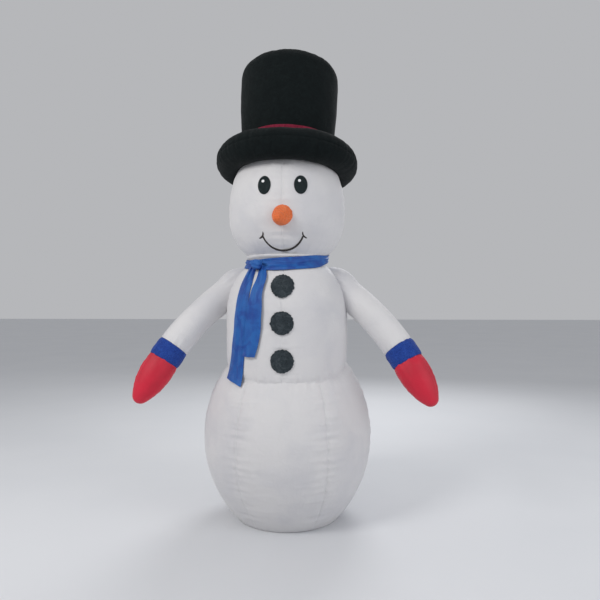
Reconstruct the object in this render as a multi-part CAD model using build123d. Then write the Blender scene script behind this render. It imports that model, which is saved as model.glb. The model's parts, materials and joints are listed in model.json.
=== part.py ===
from build123d import *
from math import acos, asin, atan2, cos, degrees, hypot, pi, radians, sin, sqrt, tan
import os

# Inflatable yard snowman, 2.44 m tall and kept up by a fan, in millimetres.
# The origin is the centre of the base on the ground, +Z is up and the face looks along -Y.
# Left and right are the snowman's own, so its left arm is on +X.

# ---- fabric ----
FABRIC = 1.2            # wall of a sewn panel
STITCH_GAP = 0.3        # a patch or a curved seam stands this far off the panel beside it
SOFT_GAP = 0.4          # room between soft pieces that move apart
FIT = 0.02              # parts that rest on each other are drawn this far apart
SEAT = 0.05             # the same, where one is fabric or glass

# ---- lower body ----
BASE_R, BASE_THICK = 272, 2
BELLY_R, BELLY_Z = 442, 436
WAIST_R, WAIST_Z = 305, 826
GORES = ("front", "front_left", "back_left", "back", "back_right", "front_right")

# ---- torso, whose axis stands forward of the lower body's ----
TORSO_Y = -53
CHEST_R, CHEST_LOW_Z, CHEST_HIGH_Z = 318, 990, 1085
TORSO_FOOT_R, TORSO_FOOT_Z = 306, 690
NECK_R = 206
TORSO_TOP_Z = 1322
NECK_HEIGHT = 44        # the soft ring between torso and head

# ---- head ----
HEAD_R = 304
HEAD_LOW_Z, HEAD_HIGH_Z = 1575, 1622
HEAD_JAW_ARC, HEAD_CROWN_ARC = 262, 430
NOD = 4                 # degrees the head can nod each way
NOD_Z = 1344            # height of the nod's axis
HEAD_TOP_Z = 1862

# ---- hat, in its own frame whose origin is the brim's centre ----
HAT_Z = 1850
HAT_TILT = -9.4         # degrees about X: the front edge is raised
HAT_LEAN = 1            # degrees about Y, towards the left arm
BRIM_RING_R, BRIM_TUBE_R = 294, 77
CROWN_FOOT_R, CROWN_R = 226, 261
CROWN_HEIGHT = 568
CROWN_EDGE_R, CROWN_EDGE_TURN = 78, 76
BAND_LOW, BAND_HIGH, BAND_THICK = 40, 128, 1.6

# ---- arms ----
SHOULDER_X, SHOULDER_Z = 300, 1190
ARM_DROOP, ARM_FORWARD = 33, 30     # degrees below level, and towards the front
ARM_BEND = 23                       # degrees that the arm curves down from shoulder to wrist
ARM_R = 78
ARM_ROOT = 170                      # length of arm tube drawn inside the torso, then cut away
SLEEVE_LENGTH, CUFF_LENGTH, MITTEN_LENGTH = 418, 86, 244
CUFF_PROUD = 1.5
MITTEN_TUCK = 8                     # how far the mitten's mouth goes into the cuff
MITTEN_BELLY, MITTEN_BELLY_AT, MITTEN_TIP_R = 3, 65, 40
GUSSET_REACH = 45                   # how far the soft shoulder ring stands off the torso

# ---- face ----
PATCH = 1.2                         # thickness of the sewn-on patches
EYE_X, EYE_Z = 88, 1695
EYE_WIDTH, EYE_HEIGHT = 63, 91
GLINT_R, GLINT_X, GLINT_Z = 7, -6, 19
NOSE_Z, NOSE_R, NOSE_TIP_R, NOSE_LENGTH = 1549, 50, 20, 118
NOSE_DROOP, NOSE_TURN = 16, 10
MOUTH_HALF_SPAN, MOUTH_Z, MOUTH_SAG = 98, 1453, 68
MOUTH_WIDTH, TICK_LENGTH, TICK_WIDTH, TICK_LEAN = 9, 35, 7, 30

# ---- buttons ----
BUTTON_R, BUTTON_THICK = 56, 3.5
BUTTON_HEIGHTS = (1210, 1033, 852)

# ---- scarf ----
LOOP_WIDTH, LOOP_THICK, LOOP_TILT = 56, 8, 7
LOOP_Z, LOOP_SLACK = 1345, 4
SCARF_ROOM = 54         # the arms start this far out from the neck
KNOT_AZIMUTH = 31                   # degrees from the front towards the right arm
KNOT_WIDTH, KNOT_HEIGHT, KNOT_DEPTH = 62, 56, 38
SCARF_THICK = 3
LONG_TAIL_OFF, SHORT_TAIL_OFF = 3, 8   # how far each tail lies off the body
TAILS_BELOW_KNOT = 9                # room for the tails to swing up under the knot
KNOT_OUT = 22                       # how much wider than the neck the body is behind the knot
# each tail's two edges, as (x, z) from the knot down
LONG_TAIL = ([(-160, 1306), (-196, 1200), (-232, 1060), (-247, 930), (-268, 770)],
             [(-204, 722), (-200, 870), (-176, 1060), (-150, 1200), (-128, 1306)])
SHORT_TAIL = ([(-134, 1306), (-158, 1200), (-172, 1060), (-184, 960), (-194, 872)],
              [(-133, 866), (-108, 960), (-100, 1060), (-114, 1160), (-96, 1306)])

# ---- fan, its axis along Y behind the base ----
FAN_Y, FAN_Z = 392, 98              # the duct's joint plane, and the axis height
DUCT_R, DUCT_WALL = 76, 3
OUTER_LENGTH, INNER_LENGTH = 66, 84
NOZZLE_R = 52
FOOT_WIDTH, FOOT_LENGTH = 96, 50
COLLAR_GAP, COLLAR_PAST = 0.8, 14
CLAMP_WIDTH, CLAMP_THICK = 10, 1.6
GRILLE_THICK, GRILLE_BAR, GRILLE_RINGS = 3, 3.2, 5
HUB_R, IMPELLER_R, IMPELLER_DEPTH, BLADES, BLADE_PITCH = 20, 66, 26, 7, 35
MOTOR_R, MOTOR_LENGTH, MOTOR_RING, MOTOR_GAP = 27, 42, 6, 10
STRUTS, STRUT_WIDTH = 3, 8
SHAFT_R = 3
SHAFT_CLEAR = 0.1
SCREW_R, SCREW_HEAD_R, SCREW_HEAD, SCREW_LENGTH, SCREWS = 1.8, 3.6, 2.2, 12, 4
SCREW_BOSS_R = 4.5
SCREW_FIRST = 45                    # azimuth of the first screw, in degrees about the fan's axis
INLET_R, INLET_LENGTH = 9, 16
INLET_SHIFT, INLET_LIP = 8, 3        # behind the duct's middle; the gland's rim

# ---- zip on the back seam, above the belly ----
ZIP_FROM, ZIP_TO = 3, 27            # degrees about the centre of the upper arc
TAPE_WIDTH, TAPE_THICK = 30, 0.8
COIL_WIDTH, COIL_THICK, COIL_SPLIT = 3, 1.6, 2.6
SLIDER_WIDTH, SLIDER_LENGTH, SLIDER_PLATE, SLIDER_WEB = 13, 17, 1.6, 1.4
BAIL_R, BAIL_RISE, BAIL_SPAN = 1.1, 4.2, 9
BAIL_POST, BAIL_POST_HALF = 2, 1.6   # width and half length of the posts that hold the bail
PULL_EYE_WALL, PULL_EYE_WIDTH, PULL_NECK = 1.3, 4.4, 9
PULL_WIDTH, PULL_LENGTH, PULL_THICK = 8, 34, 1.4

# ---- lights inside ----
TAPE_X = 24                         # the hanging tape passes beside the body's axis
HANGER_WIDTH, HANGER_THICK = 25, 1
LAMP_HEIGHTS = (420, 720, 1020)
SOCKET_R, SOCKET_LENGTH = 11, 34
BULB_R, BULB_LENGTH = 17, 46
LAMP_CLEAR = 2
LEAD_R = 2.4

# ---- tethers and stake tabs, on the back half ----
RING_HEIGHT, RING_AZIMUTH = 428, 128   # azimuth from the front
RING_R, RING_WIRE_R, RING_OFF = 14, 1.6, 6
STRAP_WIDTH, STRAP_THICK, STRAP_LENGTH = 20, 1.4, 40
TAB_AZIMUTHS = (118, 156, 204, 242)
TAB_WIDTH, TAB_LENGTH, TAB_THICK = 34, 62, 1.6
GROMMET_HOLE_R, GROMMET_FLANGE_R, GROMMET_RISE = 6, 10, 0.8
GROMMET_WALL = 1.2

# ---- ballast ----
BALLAST_R, BALLAST_HEIGHT = 170, 46

BIG = 3000


# ======================= surfaces of revolution =======================
# An outline is a list of arcs (centre_r, centre_z, radius, start, end), in degrees from the
# outward direction towards +Z. Arcs that don't meet are joined by straight lines.

def arc_point(arc, angle, grow=0):
    centre_r, centre_z, radius = arc[:3]
    reach = radius + grow
    return (centre_r + reach * cos(radians(angle)), 0, centre_z + reach * sin(radians(angle)))


def outline_edges(arcs, grow=0):
    edges, last = [], None
    for arc in arcs:
        start, end = arc[3:]
        first, middle, final = [arc_point(arc, a, grow) for a in (start, (start + end) / 2, end)]
        if last and hypot(first[0] - last[0], first[2] - last[2]) > 0.01:
            edges.append(Line(last, first))
        edges.append(ThreePointArc(first, middle, final))
        last = final
    return edges


def turned(edges):
    """The solid that a closed loop of edges in the XZ plane sweeps about Z."""
    return Solid(revolve(make_face(edges), axis=Axis.Z, revolution_arc=360).wrapped)


def full(arcs, grow=0):
    """The outline, moved outwards by grow and filled to its axis."""
    edges = outline_edges(arcs, grow)
    low, high = edges[0] @ 0, edges[-1] @ 1
    corners = [high, (0, 0, high.Z), (0, 0, low.Z), low]
    if high.X < 0.01:
        corners.pop(0)
    return turned([*edges, Polyline(*corners)])


def shell(arcs, outer=0, wall=FABRIC):
    """A wall whose outside is the outline moved outwards by outer."""
    outside, inside = outline_edges(arcs, outer), outline_edges(arcs, outer - wall)
    ends = [Line(outside[0] @ 0, inside[0] @ 0), Line(outside[-1] @ 1, inside[-1] @ 1)]
    return turned([*outside, ends[1], *inside, ends[0]])


def upright_arc(upright_r, upright_z, end_r, end_z):
    """The arc that stands upright at one point and passes through the end point."""
    inset, rise = upright_r - end_r, abs(end_z - upright_z)
    radius = (inset**2 + rise**2) / (2 * inset)
    turn = degrees(asin(rise / radius))
    centre_r = upright_r - radius
    return (centre_r, upright_z, radius, -turn, 0) if end_z < upright_z else (centre_r, upright_z, radius, 0, turn)


def sector(start, end, top=BIG):
    """A wedge about Z from one azimuth to the next, in degrees from the front (-Y) towards +X."""
    rim = [(BIG * sin(radians(a)), -BIG * cos(radians(a))) for a in (start, (start + end) / 2, end)]
    return extrude(make_face(Polyline((0, 0), *rim, (0, 0))), amount=top)


def box_between(low, high):
    size = [b - a for a, b in zip(low, high)]
    return Pos(*low) * Box(*size, align=(Align.MIN,) * 3)


def cylinder_along_y(radius, y_from, y_to, z=0, x=0):
    turned_up = Rot(90, 0, 0) * Cylinder(radius, y_to - y_from)
    return Pos(x, (y_from + y_to) / 2, z) * turned_up


def solid(shape):
    """The shape as one solid, where a cut has left it in a compound."""
    pieces = shape.solids()
    return pieces[0] if len(pieces) == 1 else Compound(children=list(pieces))


parts = {}

# ---- outlines ----
LOWER_ARC = upright_arc(BELLY_R, BELLY_Z, BASE_R, BASE_THICK)
UPPER_ARC = upright_arc(BELLY_R, BELLY_Z, WAIST_R, WAIST_Z)
DOME_R = WAIST_R / 3                # the upper arc runs on inside the torso before it is cut
UPPER_ARC = (*UPPER_ARC[:4], degrees(acos((DOME_R - UPPER_ARC[0]) / UPPER_ARC[2])))
BODY = [LOWER_ARC, UPPER_ARC]
TORSO = [upright_arc(CHEST_R, CHEST_LOW_Z, TORSO_FOOT_R, TORSO_FOOT_Z),
         upright_arc(CHEST_R, CHEST_HIGH_Z, NECK_R, TORSO_TOP_Z)]
HEAD_FOOT_Z = TORSO_TOP_Z + NECK_HEIGHT
HEAD = [(HEAD_R - HEAD_JAW_ARC, HEAD_LOW_Z, HEAD_JAW_ARC,
         -degrees(asin((HEAD_LOW_Z - HEAD_FOOT_Z) / HEAD_JAW_ARC)), 0),
        (HEAD_R - HEAD_CROWN_ARC, HEAD_HIGH_Z, HEAD_CROWN_ARC,
         0, degrees(asin((HEAD_TOP_Z - HEAD_HIGH_Z) / HEAD_CROWN_ARC)))]

edge_end_r = CROWN_R - CROWN_EDGE_R + CROWN_EDGE_R * cos(radians(CROWN_EDGE_TURN))
dome_r = edge_end_r / cos(radians(CROWN_EDGE_TURN))
edge_rise = CROWN_EDGE_R * sin(radians(CROWN_EDGE_TURN))
edge_z = CROWN_HEIGHT - edge_rise - dome_r * (1 - sin(radians(CROWN_EDGE_TURN)))
CROWN_SIDE = [upright_arc(CROWN_R, edge_z, CROWN_FOOT_R, 0),
              (CROWN_R - CROWN_EDGE_R, edge_z, CROWN_EDGE_R, 0, CROWN_EDGE_TURN)]
CROWN_TOP = [(0, CROWN_HEIGHT - dome_r, dome_r, CROWN_EDGE_TURN, 90)]

upper_frame = Pos(0, TORSO_Y, 0)                          # torso, neck and head
hat_frame = Pos(0, TORSO_Y, HAT_Z) * Rot(HAT_TILT, 0, 0) * Rot(0, HAT_LEAN, 0)


def arc_r(arc, z):
    """The radius that an outline's arc has reached at a height."""
    centre_r, centre_z, radius = arc[:3]
    return centre_r + sqrt(radius**2 - (z - centre_z)**2)


def body_r(z):
    """The lower body's outer radius at a height."""
    return arc_r(LOWER_ARC if z < BELLY_Z else UPPER_ARC, z)




# ======================= arms =======================
BEND_R = (SLEEVE_LENGTH + CUFF_LENGTH) / radians(ARM_BEND)
droop, forward = radians(ARM_DROOP), radians(ARM_FORWARD)
arm_frame = Plane(origin=(SHOULDER_X, TORSO_Y, SHOULDER_Z),
                  x_dir=(sin(droop) * cos(forward), -sin(droop) * sin(forward), cos(droop)),
                  z_dir=(cos(droop) * cos(forward), -cos(droop) * sin(forward), -sin(droop))).location


def along_arm(distance):
    """The frame at a distance from the shoulder: +Z runs towards the hand."""
    turn = degrees(distance / BEND_R)
    return arm_frame * Pos(-BEND_R, 0, 0) * Rot(0, -turn, 0) * Pos(BEND_R, 0, 0)


def arm_tube(radius, start, end):
    profile = Face(Wire([Edge.make_circle(radius)]))
    swept = revolve(profile, axis=Axis((-BEND_R, 0, 0), (0, -1, 0)),
                    revolution_arc=degrees((end - start) / BEND_R))
    return along_arm(start) * swept


arm_bore = arm_tube(ARM_R - FABRIC, -ARM_ROOT - 5, SLEEVE_LENGTH + CUFF_LENGTH + 5)
arm_wall = arm_tube(ARM_R, -ARM_ROOT, SLEEVE_LENGTH) - arm_bore

mitten_belly_r = ARM_R + MITTEN_BELLY
tip_reach = MITTEN_LENGTH + MITTEN_TUCK - MITTEN_TIP_R - MITTEN_BELLY_AT
back_arc = (tip_reach**2 + mitten_belly_r**2 - MITTEN_TIP_R**2) / (2 * (mitten_belly_r - MITTEN_TIP_R))
tip_turn = degrees(atan2(tip_reach, back_arc - mitten_belly_r))
MITTEN = [(mitten_belly_r - back_arc, MITTEN_BELLY_AT, back_arc,
           -degrees(asin(MITTEN_BELLY_AT / back_arc)), tip_turn),
          (0, MITTEN_LENGTH + MITTEN_TUCK - MITTEN_TIP_R, MITTEN_TIP_R, tip_turn, 90)]

wrist = SLEEVE_LENGTH + CUFF_LENGTH
arm_wall = arm_wall - upper_frame * Cylinder(NECK_R + SCARF_ROOM, BIG)
arm_pieces = {
    "shoulder_gusset": (arm_wall & (upper_frame * full(TORSO, GUSSET_REACH))) - (upper_frame * full(TORSO, SOFT_GAP)),
    "sleeve": arm_wall - (upper_frame * full(TORSO, GUSSET_REACH + SOFT_GAP)),
    "cuff": arm_tube(ARM_R + CUFF_PROUD, SLEEVE_LENGTH, wrist) - arm_bore,
    "mitten": along_arm(wrist - MITTEN_TUCK) * shell(MITTEN),
}
for name, piece in arm_pieces.items():
    outboard = max(piece.solids(), key=lambda s: s.center().X)
    parts[f"{name}_left"] = outboard
    parts[f"{name}_right"] = mirror(outboard, about=Plane.YZ)


# ======================= lower body =======================
fan_opening = cylinder_along_y(DUCT_R + COLLAR_GAP, 0, BIG, FAN_Z)
lower_wall = shell(BODY) - (upper_frame * full(TORSO, -FABRIC)) - fan_opening
step = 360 / len(GORES)
for number, name in enumerate(GORES):
    gore = lower_wall & sector((number - 0.5) * step, (number + 0.5) * step)
    parts[f"lower_panel_{name}"] = max(gore.solids(), key=lambda s: s.volume)

parts["base_panel"] = Cylinder(BASE_R + FABRIC, BASE_THICK, align=(Align.CENTER, Align.CENTER, Align.MIN))
ballast = Cylinder(BALLAST_R, BALLAST_HEIGHT, align=(Align.CENTER, Align.CENTER, Align.MIN))
ballast = fillet(ballast.edges().filter_by(GeomType.CIRCLE), BALLAST_HEIGHT * 0.45)
parts["ballast_bag"] = Pos(0, 0, BASE_THICK + STITCH_GAP) * ballast


# ======================= torso =======================
SECTORS = {"front_left": (0, 90), "back": (90, 270), "front_right": (270, 360)}
torso_wall = upper_frame * shell(TORSO) - full(BODY, STITCH_GAP) - arm_bore - mirror(arm_bore, about=Plane.YZ)
head_wall = upper_frame * shell(HEAD)
brim_ring = hat_frame * Torus(BRIM_RING_R, BRIM_TUBE_R + 2 * STITCH_GAP)
head_wall = head_wall - brim_ring - hat_frame * box_between((-BIG, -BIG, 0), (BIG, BIG, BIG))
for name, (start, end) in SECTORS.items():
    for node, wall in (("torso_panel", torso_wall), ("head_panel", head_wall)):
        panel = wall & (upper_frame * sector(start, end))
        parts[f"{node}_{name}"] = max(panel.solids(), key=lambda s: s.volume)

neck_low, neck_high = TORSO_TOP_Z + SOFT_GAP, HEAD_FOOT_Z - SOFT_GAP
jaw_foot_r = arc_point(HEAD[0], HEAD[0][3])[0]
neck_profile = Polyline((NECK_R - FABRIC, 0, neck_low), (NECK_R, 0, neck_low), (jaw_foot_r, 0, neck_high),
                        (jaw_foot_r - FABRIC, 0, neck_high), (NECK_R - FABRIC, 0, neck_low))
parts["neck_gusset"] = upper_frame * turned([neck_profile])


# ======================= hat =======================
ring_shell = Torus(BRIM_RING_R, BRIM_TUBE_R) - Torus(BRIM_RING_R, BRIM_TUBE_R - FABRIC)
crown_core = Cylinder(CROWN_FOOT_R, 4 * BRIM_TUBE_R)
upper_half = box_between((-BIG, -BIG, 0), (BIG, BIG, BIG))
lower_half = box_between((-BIG, -BIG, -BIG), (BIG, BIG, 0))
head_core = hat_frame.inverse() * upper_frame * full(HEAD)
parts["hat_brim_upper"] = hat_frame * solid((ring_shell & upper_half) - crown_core)
parts["hat_brim_lower"] = hat_frame * solid((ring_shell & lower_half) - crown_core - head_core)
crown_foot_cut = Torus(BRIM_RING_R, BRIM_TUBE_R + STITCH_GAP)
crown_side = shell(CROWN_SIDE) - crown_foot_cut
parts["hat_crown_side"] = hat_frame * max(crown_side.solids(), key=lambda s: s.volume)
parts["hat_crown_top"] = hat_frame * shell(CROWN_TOP)
band = shell(CROWN_SIDE, STITCH_GAP + BAND_THICK, BAND_THICK)
band = (band & box_between((-BIG, -BIG, BAND_LOW), (BIG, BIG, BAND_HIGH))) - crown_foot_cut
parts["hat_band"] = hat_frame * max(band.solids(), key=lambda s: s.volume)


# ======================= face and buttons =======================
front_half = box_between((-BIG, -BIG, 0), (BIG, TORSO_Y, BIG))


def patch(face, arcs, off, thick):
    """A sewn-on patch: the outline of a face in the XZ plane, laid on the front of a surface."""
    layer = upper_frame * shell(arcs, off + thick, thick)
    return extrude(face, amount=BIG, both=True) & layer & front_half


def on_front(face, x, z):
    return Plane(origin=(x, 0, z), x_dir=(1, 0, 0), z_dir=(0, -1, 0)).location * face


eyes = [patch(on_front(Ellipse(EYE_WIDTH / 2, EYE_HEIGHT / 2), x, EYE_Z), HEAD, STITCH_GAP, PATCH)
        for x in (EYE_X, -EYE_X)]
parts["eyes"] = Compound(children=[solid(e) for e in eyes])
glints = [patch(on_front(Circle(GLINT_R), x + GLINT_X, EYE_Z + GLINT_Z), HEAD, 2 * STITCH_GAP + PATCH, PATCH)
          for x in (EYE_X, -EYE_X)]
parts["eye_glints"] = Compound(children=[solid(g) for g in glints])

corner, lowest = (MOUTH_HALF_SPAN, 0), (0, -MOUTH_SAG)
smile = ThreePointArc((-corner[0], 0), lowest, corner)
tick = Rectangle(TICK_WIDTH, TICK_LENGTH)
mouth_face = trace(smile, MOUTH_WIDTH)
for side in (-1, 1):
    mouth_face = mouth_face + Pos(side * MOUTH_HALF_SPAN, 0) * Rot(0, 0, -side * (90 - TICK_LEAN)) * tick
parts["mouth"] = solid(patch(on_front(mouth_face, 0, MOUTH_Z), HEAD, STITCH_GAP, PATCH))

buttons = [patch(on_front(Circle(BUTTON_R), 0, z), TORSO, STITCH_GAP, BUTTON_THICK) for z in BUTTON_HEIGHTS]
parts["buttons"] = Compound(children=[solid(b) for b in buttons])

# the nose is a stuffed cone with a round tip, squeezed against the face
cone_turn = degrees(asin((NOSE_R - NOSE_TIP_R) / (NOSE_LENGTH - NOSE_TIP_R)))
NOSE = [(NOSE_R - NOSE_TIP_R, 0, NOSE_TIP_R, -60, cone_turn), (0, NOSE_LENGTH - NOSE_TIP_R, NOSE_TIP_R, cone_turn, 90)]
nose_y = TORSO_Y - HEAD_R + NOSE_TIP_R
nose_frame = Pos(0, nose_y, NOSE_Z) * Rot(0, 0, -NOSE_TURN) * Rot(90 + NOSE_DROOP, 0, 0)
parts["nose"] = solid(nose_frame * full(NOSE) - upper_frame * full(HEAD, STITCH_GAP))


# ======================= scarf =======================
def neck_core(grow):
    """Torso, neck and jaw together, moved outwards by grow."""
    neck = Pos(0, 0, (TORSO_TOP_Z + HEAD_FOOT_Z) / 2) * Cylinder(max(NECK_R, jaw_foot_r) + grow, NECK_HEIGHT + 2 * grow)
    return full(TORSO, grow) + full(HEAD, grow) + neck


nod_axis = Axis((0, TORSO_Y, NOD_Z), (1, 0, 0))
loop_frame = Pos(0, TORSO_Y, LOOP_Z) * Rot(LOOP_TILT, 0, 0)
scarf_loop = upper_frame * (neck_core(LOOP_SLACK + LOOP_THICK) - neck_core(LOOP_SLACK))
scarf_loop = scarf_loop & loop_frame * Cylinder(BIG, LOOP_WIDTH)
for nod in (-NOD, NOD):
    scarf_loop = scarf_loop - (upper_frame * full(HEAD, 2 * STITCH_GAP)).rotate(nod_axis, nod)
parts["scarf_loop"] = max(scarf_loop.solids(), key=lambda s: s.volume)

knot_turn = radians(KNOT_AZIMUTH)
knot_reach = NECK_R + KNOT_OUT + LOOP_SLACK + LOOP_THICK + KNOT_DEPTH / 2
knot_x, knot_y = -knot_reach * sin(knot_turn), TORSO_Y - knot_reach * cos(knot_turn)
knot_z = LOOP_Z - tan(radians(LOOP_TILT)) * knot_reach * cos(knot_turn)
knot = fillet(Box(KNOT_WIDTH, KNOT_DEPTH, KNOT_HEIGHT).edges(), KNOT_DEPTH * 0.42)
knot = Pos(knot_x, knot_y, knot_z) * Rot(0, 0, -KNOT_AZIMUTH) * knot
parts["scarf_knot"] = solid(knot - upper_frame * neck_core(LOOP_SLACK + LOOP_THICK + STITCH_GAP))
tails_top = knot_z - KNOT_HEIGHT / 2 - TAILS_BELOW_KNOT


def draped(edges, off):
    """A scarf end that lies on the torso and, below the waist, on the lower body."""
    down, up = edges
    left, right = Spline(*[(x, 0, z) for x, z in down]), Spline(*[(x, 0, z) for x, z in up])
    outline = make_face([left, Line(left @ 1, right @ 0), right, Line(right @ 1, left @ 0)])
    inner = upper_frame * full(TORSO, off) + full(BODY, off)
    outer = upper_frame * full(TORSO, off + SCARF_THICK) + full(BODY, off + SCARF_THICK)
    ends_at = box_between((-BIG, -BIG, 0), (BIG, TORSO_Y, tails_top))
    lying = (extrude(outline, amount=BIG, both=True) & outer & ends_at) - inner
    return max(lying.solids(), key=lambda s: s.volume)


swing_r = arc_r(TORSO[1], tails_top) + LONG_TAIL_OFF
swing_at = (-swing_r * sin(knot_turn), TORSO_Y - swing_r * cos(knot_turn), tails_top)
print("scarf swing axis through", [round(v, 2) for v in swing_at])
parts["scarf_tail_long"] = draped(LONG_TAIL, LONG_TAIL_OFF)
parts["scarf_tail_short"] = draped(SHORT_TAIL, SHORT_TAIL_OFF)


# ======================= fan =======================
fan_axis = Pos(0, FAN_Y, FAN_Z) * Rot(-90, 0, 0)          # local +Z runs backwards, out of the body


def tube(outer_r, inner_r, start, end):
    ring = Cylinder(outer_r, end - start) - Cylinder(inner_r, end - start)
    return Pos(0, 0, (start + end) / 2) * ring


collar_r = DUCT_R + COLLAR_GAP
collar = fan_axis * tube(collar_r + FABRIC, collar_r, -FAN_Y / 2, COLLAR_PAST)
parts["fan_collar"] = max((collar - full(BODY, STITCH_GAP)).solids(), key=lambda s: s.center().Y)
clamp_at = (COLLAR_PAST - CLAMP_WIDTH) / 2
clamp_r = collar_r + FABRIC + SOFT_GAP
parts["fan_clamp_band"] = fan_axis * tube(clamp_r + CLAMP_THICK, clamp_r, clamp_at, clamp_at + CLAMP_WIDTH)

inner_duct = tube(DUCT_R, DUCT_R - DUCT_WALL, -INNER_LENGTH * 0.55, 0)
nozzle_profile = Polyline((DUCT_R, 0, -INNER_LENGTH * 0.55), (DUCT_R - DUCT_WALL, 0, -INNER_LENGTH * 0.55),
                          (NOZZLE_R - DUCT_WALL, 0, -INNER_LENGTH), (NOZZLE_R, 0, -INNER_LENGTH),
                          (DUCT_R, 0, -INNER_LENGTH * 0.55))
cradle_to = -MOTOR_GAP - MOTOR_LENGTH / 2
struts = [Rot(0, 0, 360 / STRUTS * n) * box_between((MOTOR_R, -STRUT_WIDTH / 2, cradle_to - STRUT_WIDTH),
                                                    (DUCT_R - DUCT_WALL / 2, STRUT_WIDTH / 2, cradle_to))
          for n in range(STRUTS)]
motor_cradle = tube(MOTOR_R + MOTOR_RING, MOTOR_R, cradle_to - STRUT_WIDTH, cradle_to)
inner_housing = inner_duct + turned([nozzle_profile]) + motor_cradle
for strut in struts:
    inner_housing = inner_housing + (strut - Cylinder(MOTOR_R, BIG))
parts["fan_inner_housing"] = fan_axis * solid(inner_housing)

outer_duct = tube(DUCT_R, DUCT_R - DUCT_WALL, 0, OUTER_LENGTH)
screw_turns = [Rot(0, 0, SCREW_FIRST + 360 / SCREWS * n) for n in range(SCREWS)]
screw_out = Pos(DUCT_R - DUCT_WALL - SCREW_BOSS_R / 2, 0, 0)
bosses = [turn * screw_out * tube(SCREW_BOSS_R, SCREW_R, OUTER_LENGTH - SCREW_LENGTH - DUCT_WALL, OUTER_LENGTH)
          for turn in screw_turns]
foot = box_between((-FOOT_WIDTH / 2, FAN_Y + OUTER_LENGTH - FOOT_LENGTH, 0),
                   (FOOT_WIDTH / 2, FAN_Y + OUTER_LENGTH, FAN_Z))
foot = foot - cylinder_along_y(DUCT_R - 1, FAN_Y, FAN_Y + OUTER_LENGTH + 5, FAN_Z)
side_way = Pos(0, FAN_Y + OUTER_LENGTH / 2 + INLET_SHIFT, FAN_Z) * Rot(0, 90, 0)
inlet_hole = side_way * Cylinder(INLET_R, DUCT_R + INLET_LENGTH, align=(Align.CENTER, Align.CENTER, Align.MIN))
outer_housing = outer_duct
for boss in bosses:
    outer_housing = outer_housing + (boss & Cylinder(DUCT_R - 1, BIG))
parts["fan_outer_housing"] = solid(fan_axis * outer_housing + foot - inlet_hole)
lead_hole_r = INLET_R * 0.55
gland = tube(INLET_R - SHAFT_CLEAR, lead_hole_r, DUCT_R - DUCT_WALL - INLET_LIP, DUCT_R + INLET_LENGTH)
gland = gland + tube(INLET_R + INLET_LIP, lead_hole_r, DUCT_R + SOFT_GAP, DUCT_R + INLET_LIP + 2 * SOFT_GAP)
parts["power_gland"] = side_way * gland

grille_from = OUTER_LENGTH + FIT
grille_rings = [tube(r + GRILLE_BAR / 2, r - GRILLE_BAR / 2, grille_from, grille_from + GRILLE_THICK)
                for r in [DUCT_R - GRILLE_BAR / 2 - n * DUCT_R / (GRILLE_RINGS + 0.5) for n in range(GRILLE_RINGS)]]
grille = Pos(0, 0, grille_from) * Cylinder(GRILLE_BAR * 2, GRILLE_THICK, align=(Align.CENTER, Align.CENTER, Align.MIN))
for ring in grille_rings:
    grille = grille + ring
for turn in screw_turns:
    spoke = box_between((0, -GRILLE_BAR / 2, grille_from), (DUCT_R - 1, GRILLE_BAR / 2, grille_from + GRILLE_THICK))
    boss_at = turn * screw_out
    pad = boss_at * tube(SCREW_BOSS_R, SCREW_R + SHAFT_CLEAR, grille_from, grille_from + GRILLE_THICK)
    grille = grille + turn * spoke + pad - boss_at * Cylinder(SCREW_R + SHAFT_CLEAR, BIG)
parts["fan_grille"] = fan_axis * solid(grille)

screw = (Cylinder(SCREW_R - FIT, SCREW_LENGTH + GRILLE_THICK, align=(Align.CENTER, Align.CENTER, Align.MAX))
         + Cylinder(SCREW_HEAD_R, SCREW_HEAD, align=(Align.CENTER, Align.CENTER, Align.MIN)))
screw_seat = Pos(0, 0, grille_from + GRILLE_THICK + FIT)
screws = [fan_axis * turn * screw_out * screw_seat * screw for turn in screw_turns]
parts["grille_screws"] = Compound(children=[solid(s) for s in screws])

# the motor hangs in the inner housing and its shaft carries the impeller in the outer one
motor_from, motor_to = -MOTOR_GAP - MOTOR_LENGTH, -MOTOR_GAP
impeller_from = MOTOR_GAP
parts["fan_motor"] = fan_axis * tube(MOTOR_R, SHAFT_R + SHAFT_CLEAR, motor_from, motor_to)
shaft_length = impeller_from + IMPELLER_DEPTH - motor_from
parts["fan_shaft"] = fan_axis * Pos(0, 0, motor_from + shaft_length / 2) * Cylinder(SHAFT_R, shaft_length)
hub = tube(HUB_R, SHAFT_R, impeller_from, impeller_from + IMPELLER_DEPTH)
blade_face = Pos(0, 0, impeller_from + IMPELLER_DEPTH / 2) * Rot(BLADE_PITCH, 0, 0) * box_between(
    (HUB_R - 2, -IMPELLER_DEPTH * 0.55, -1), (IMPELLER_R, IMPELLER_DEPTH * 0.55, 1))
impeller = hub
for n in range(BLADES):
    impeller = impeller + Rot(0, 0, 360 / BLADES * n) * (blade_face & Cylinder(IMPELLER_R, BIG))
parts["fan_impeller"] = fan_axis * solid(impeller)


# ======================= zip =======================
zip_centre_y, zip_centre_z, zip_arc_r = UPPER_ARC[:3]


def zip_arc(radius, start, end, x_from, x_to):
    """A strip that follows the back seam, between two angles and two widths."""
    pie = make_face(Polyline((0, 0, 0), *[(0, radius[1] * 2 * cos(radians(a)), radius[1] * 2 * sin(radians(a)))
                                          for a in (start, (start + end) / 2, end)], (0, 0, 0)))
    wedge = Pos(x_from, 0, 0) * extrude(pie, amount=x_to - x_from, dir=(1, 0, 0))
    rim = cylinder_about_x(radius[1], x_from, x_to) - cylinder_about_x(radius[0], x_from, x_to)
    return Pos(0, zip_centre_y, zip_centre_z) * solid(rim & wedge)


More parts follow.
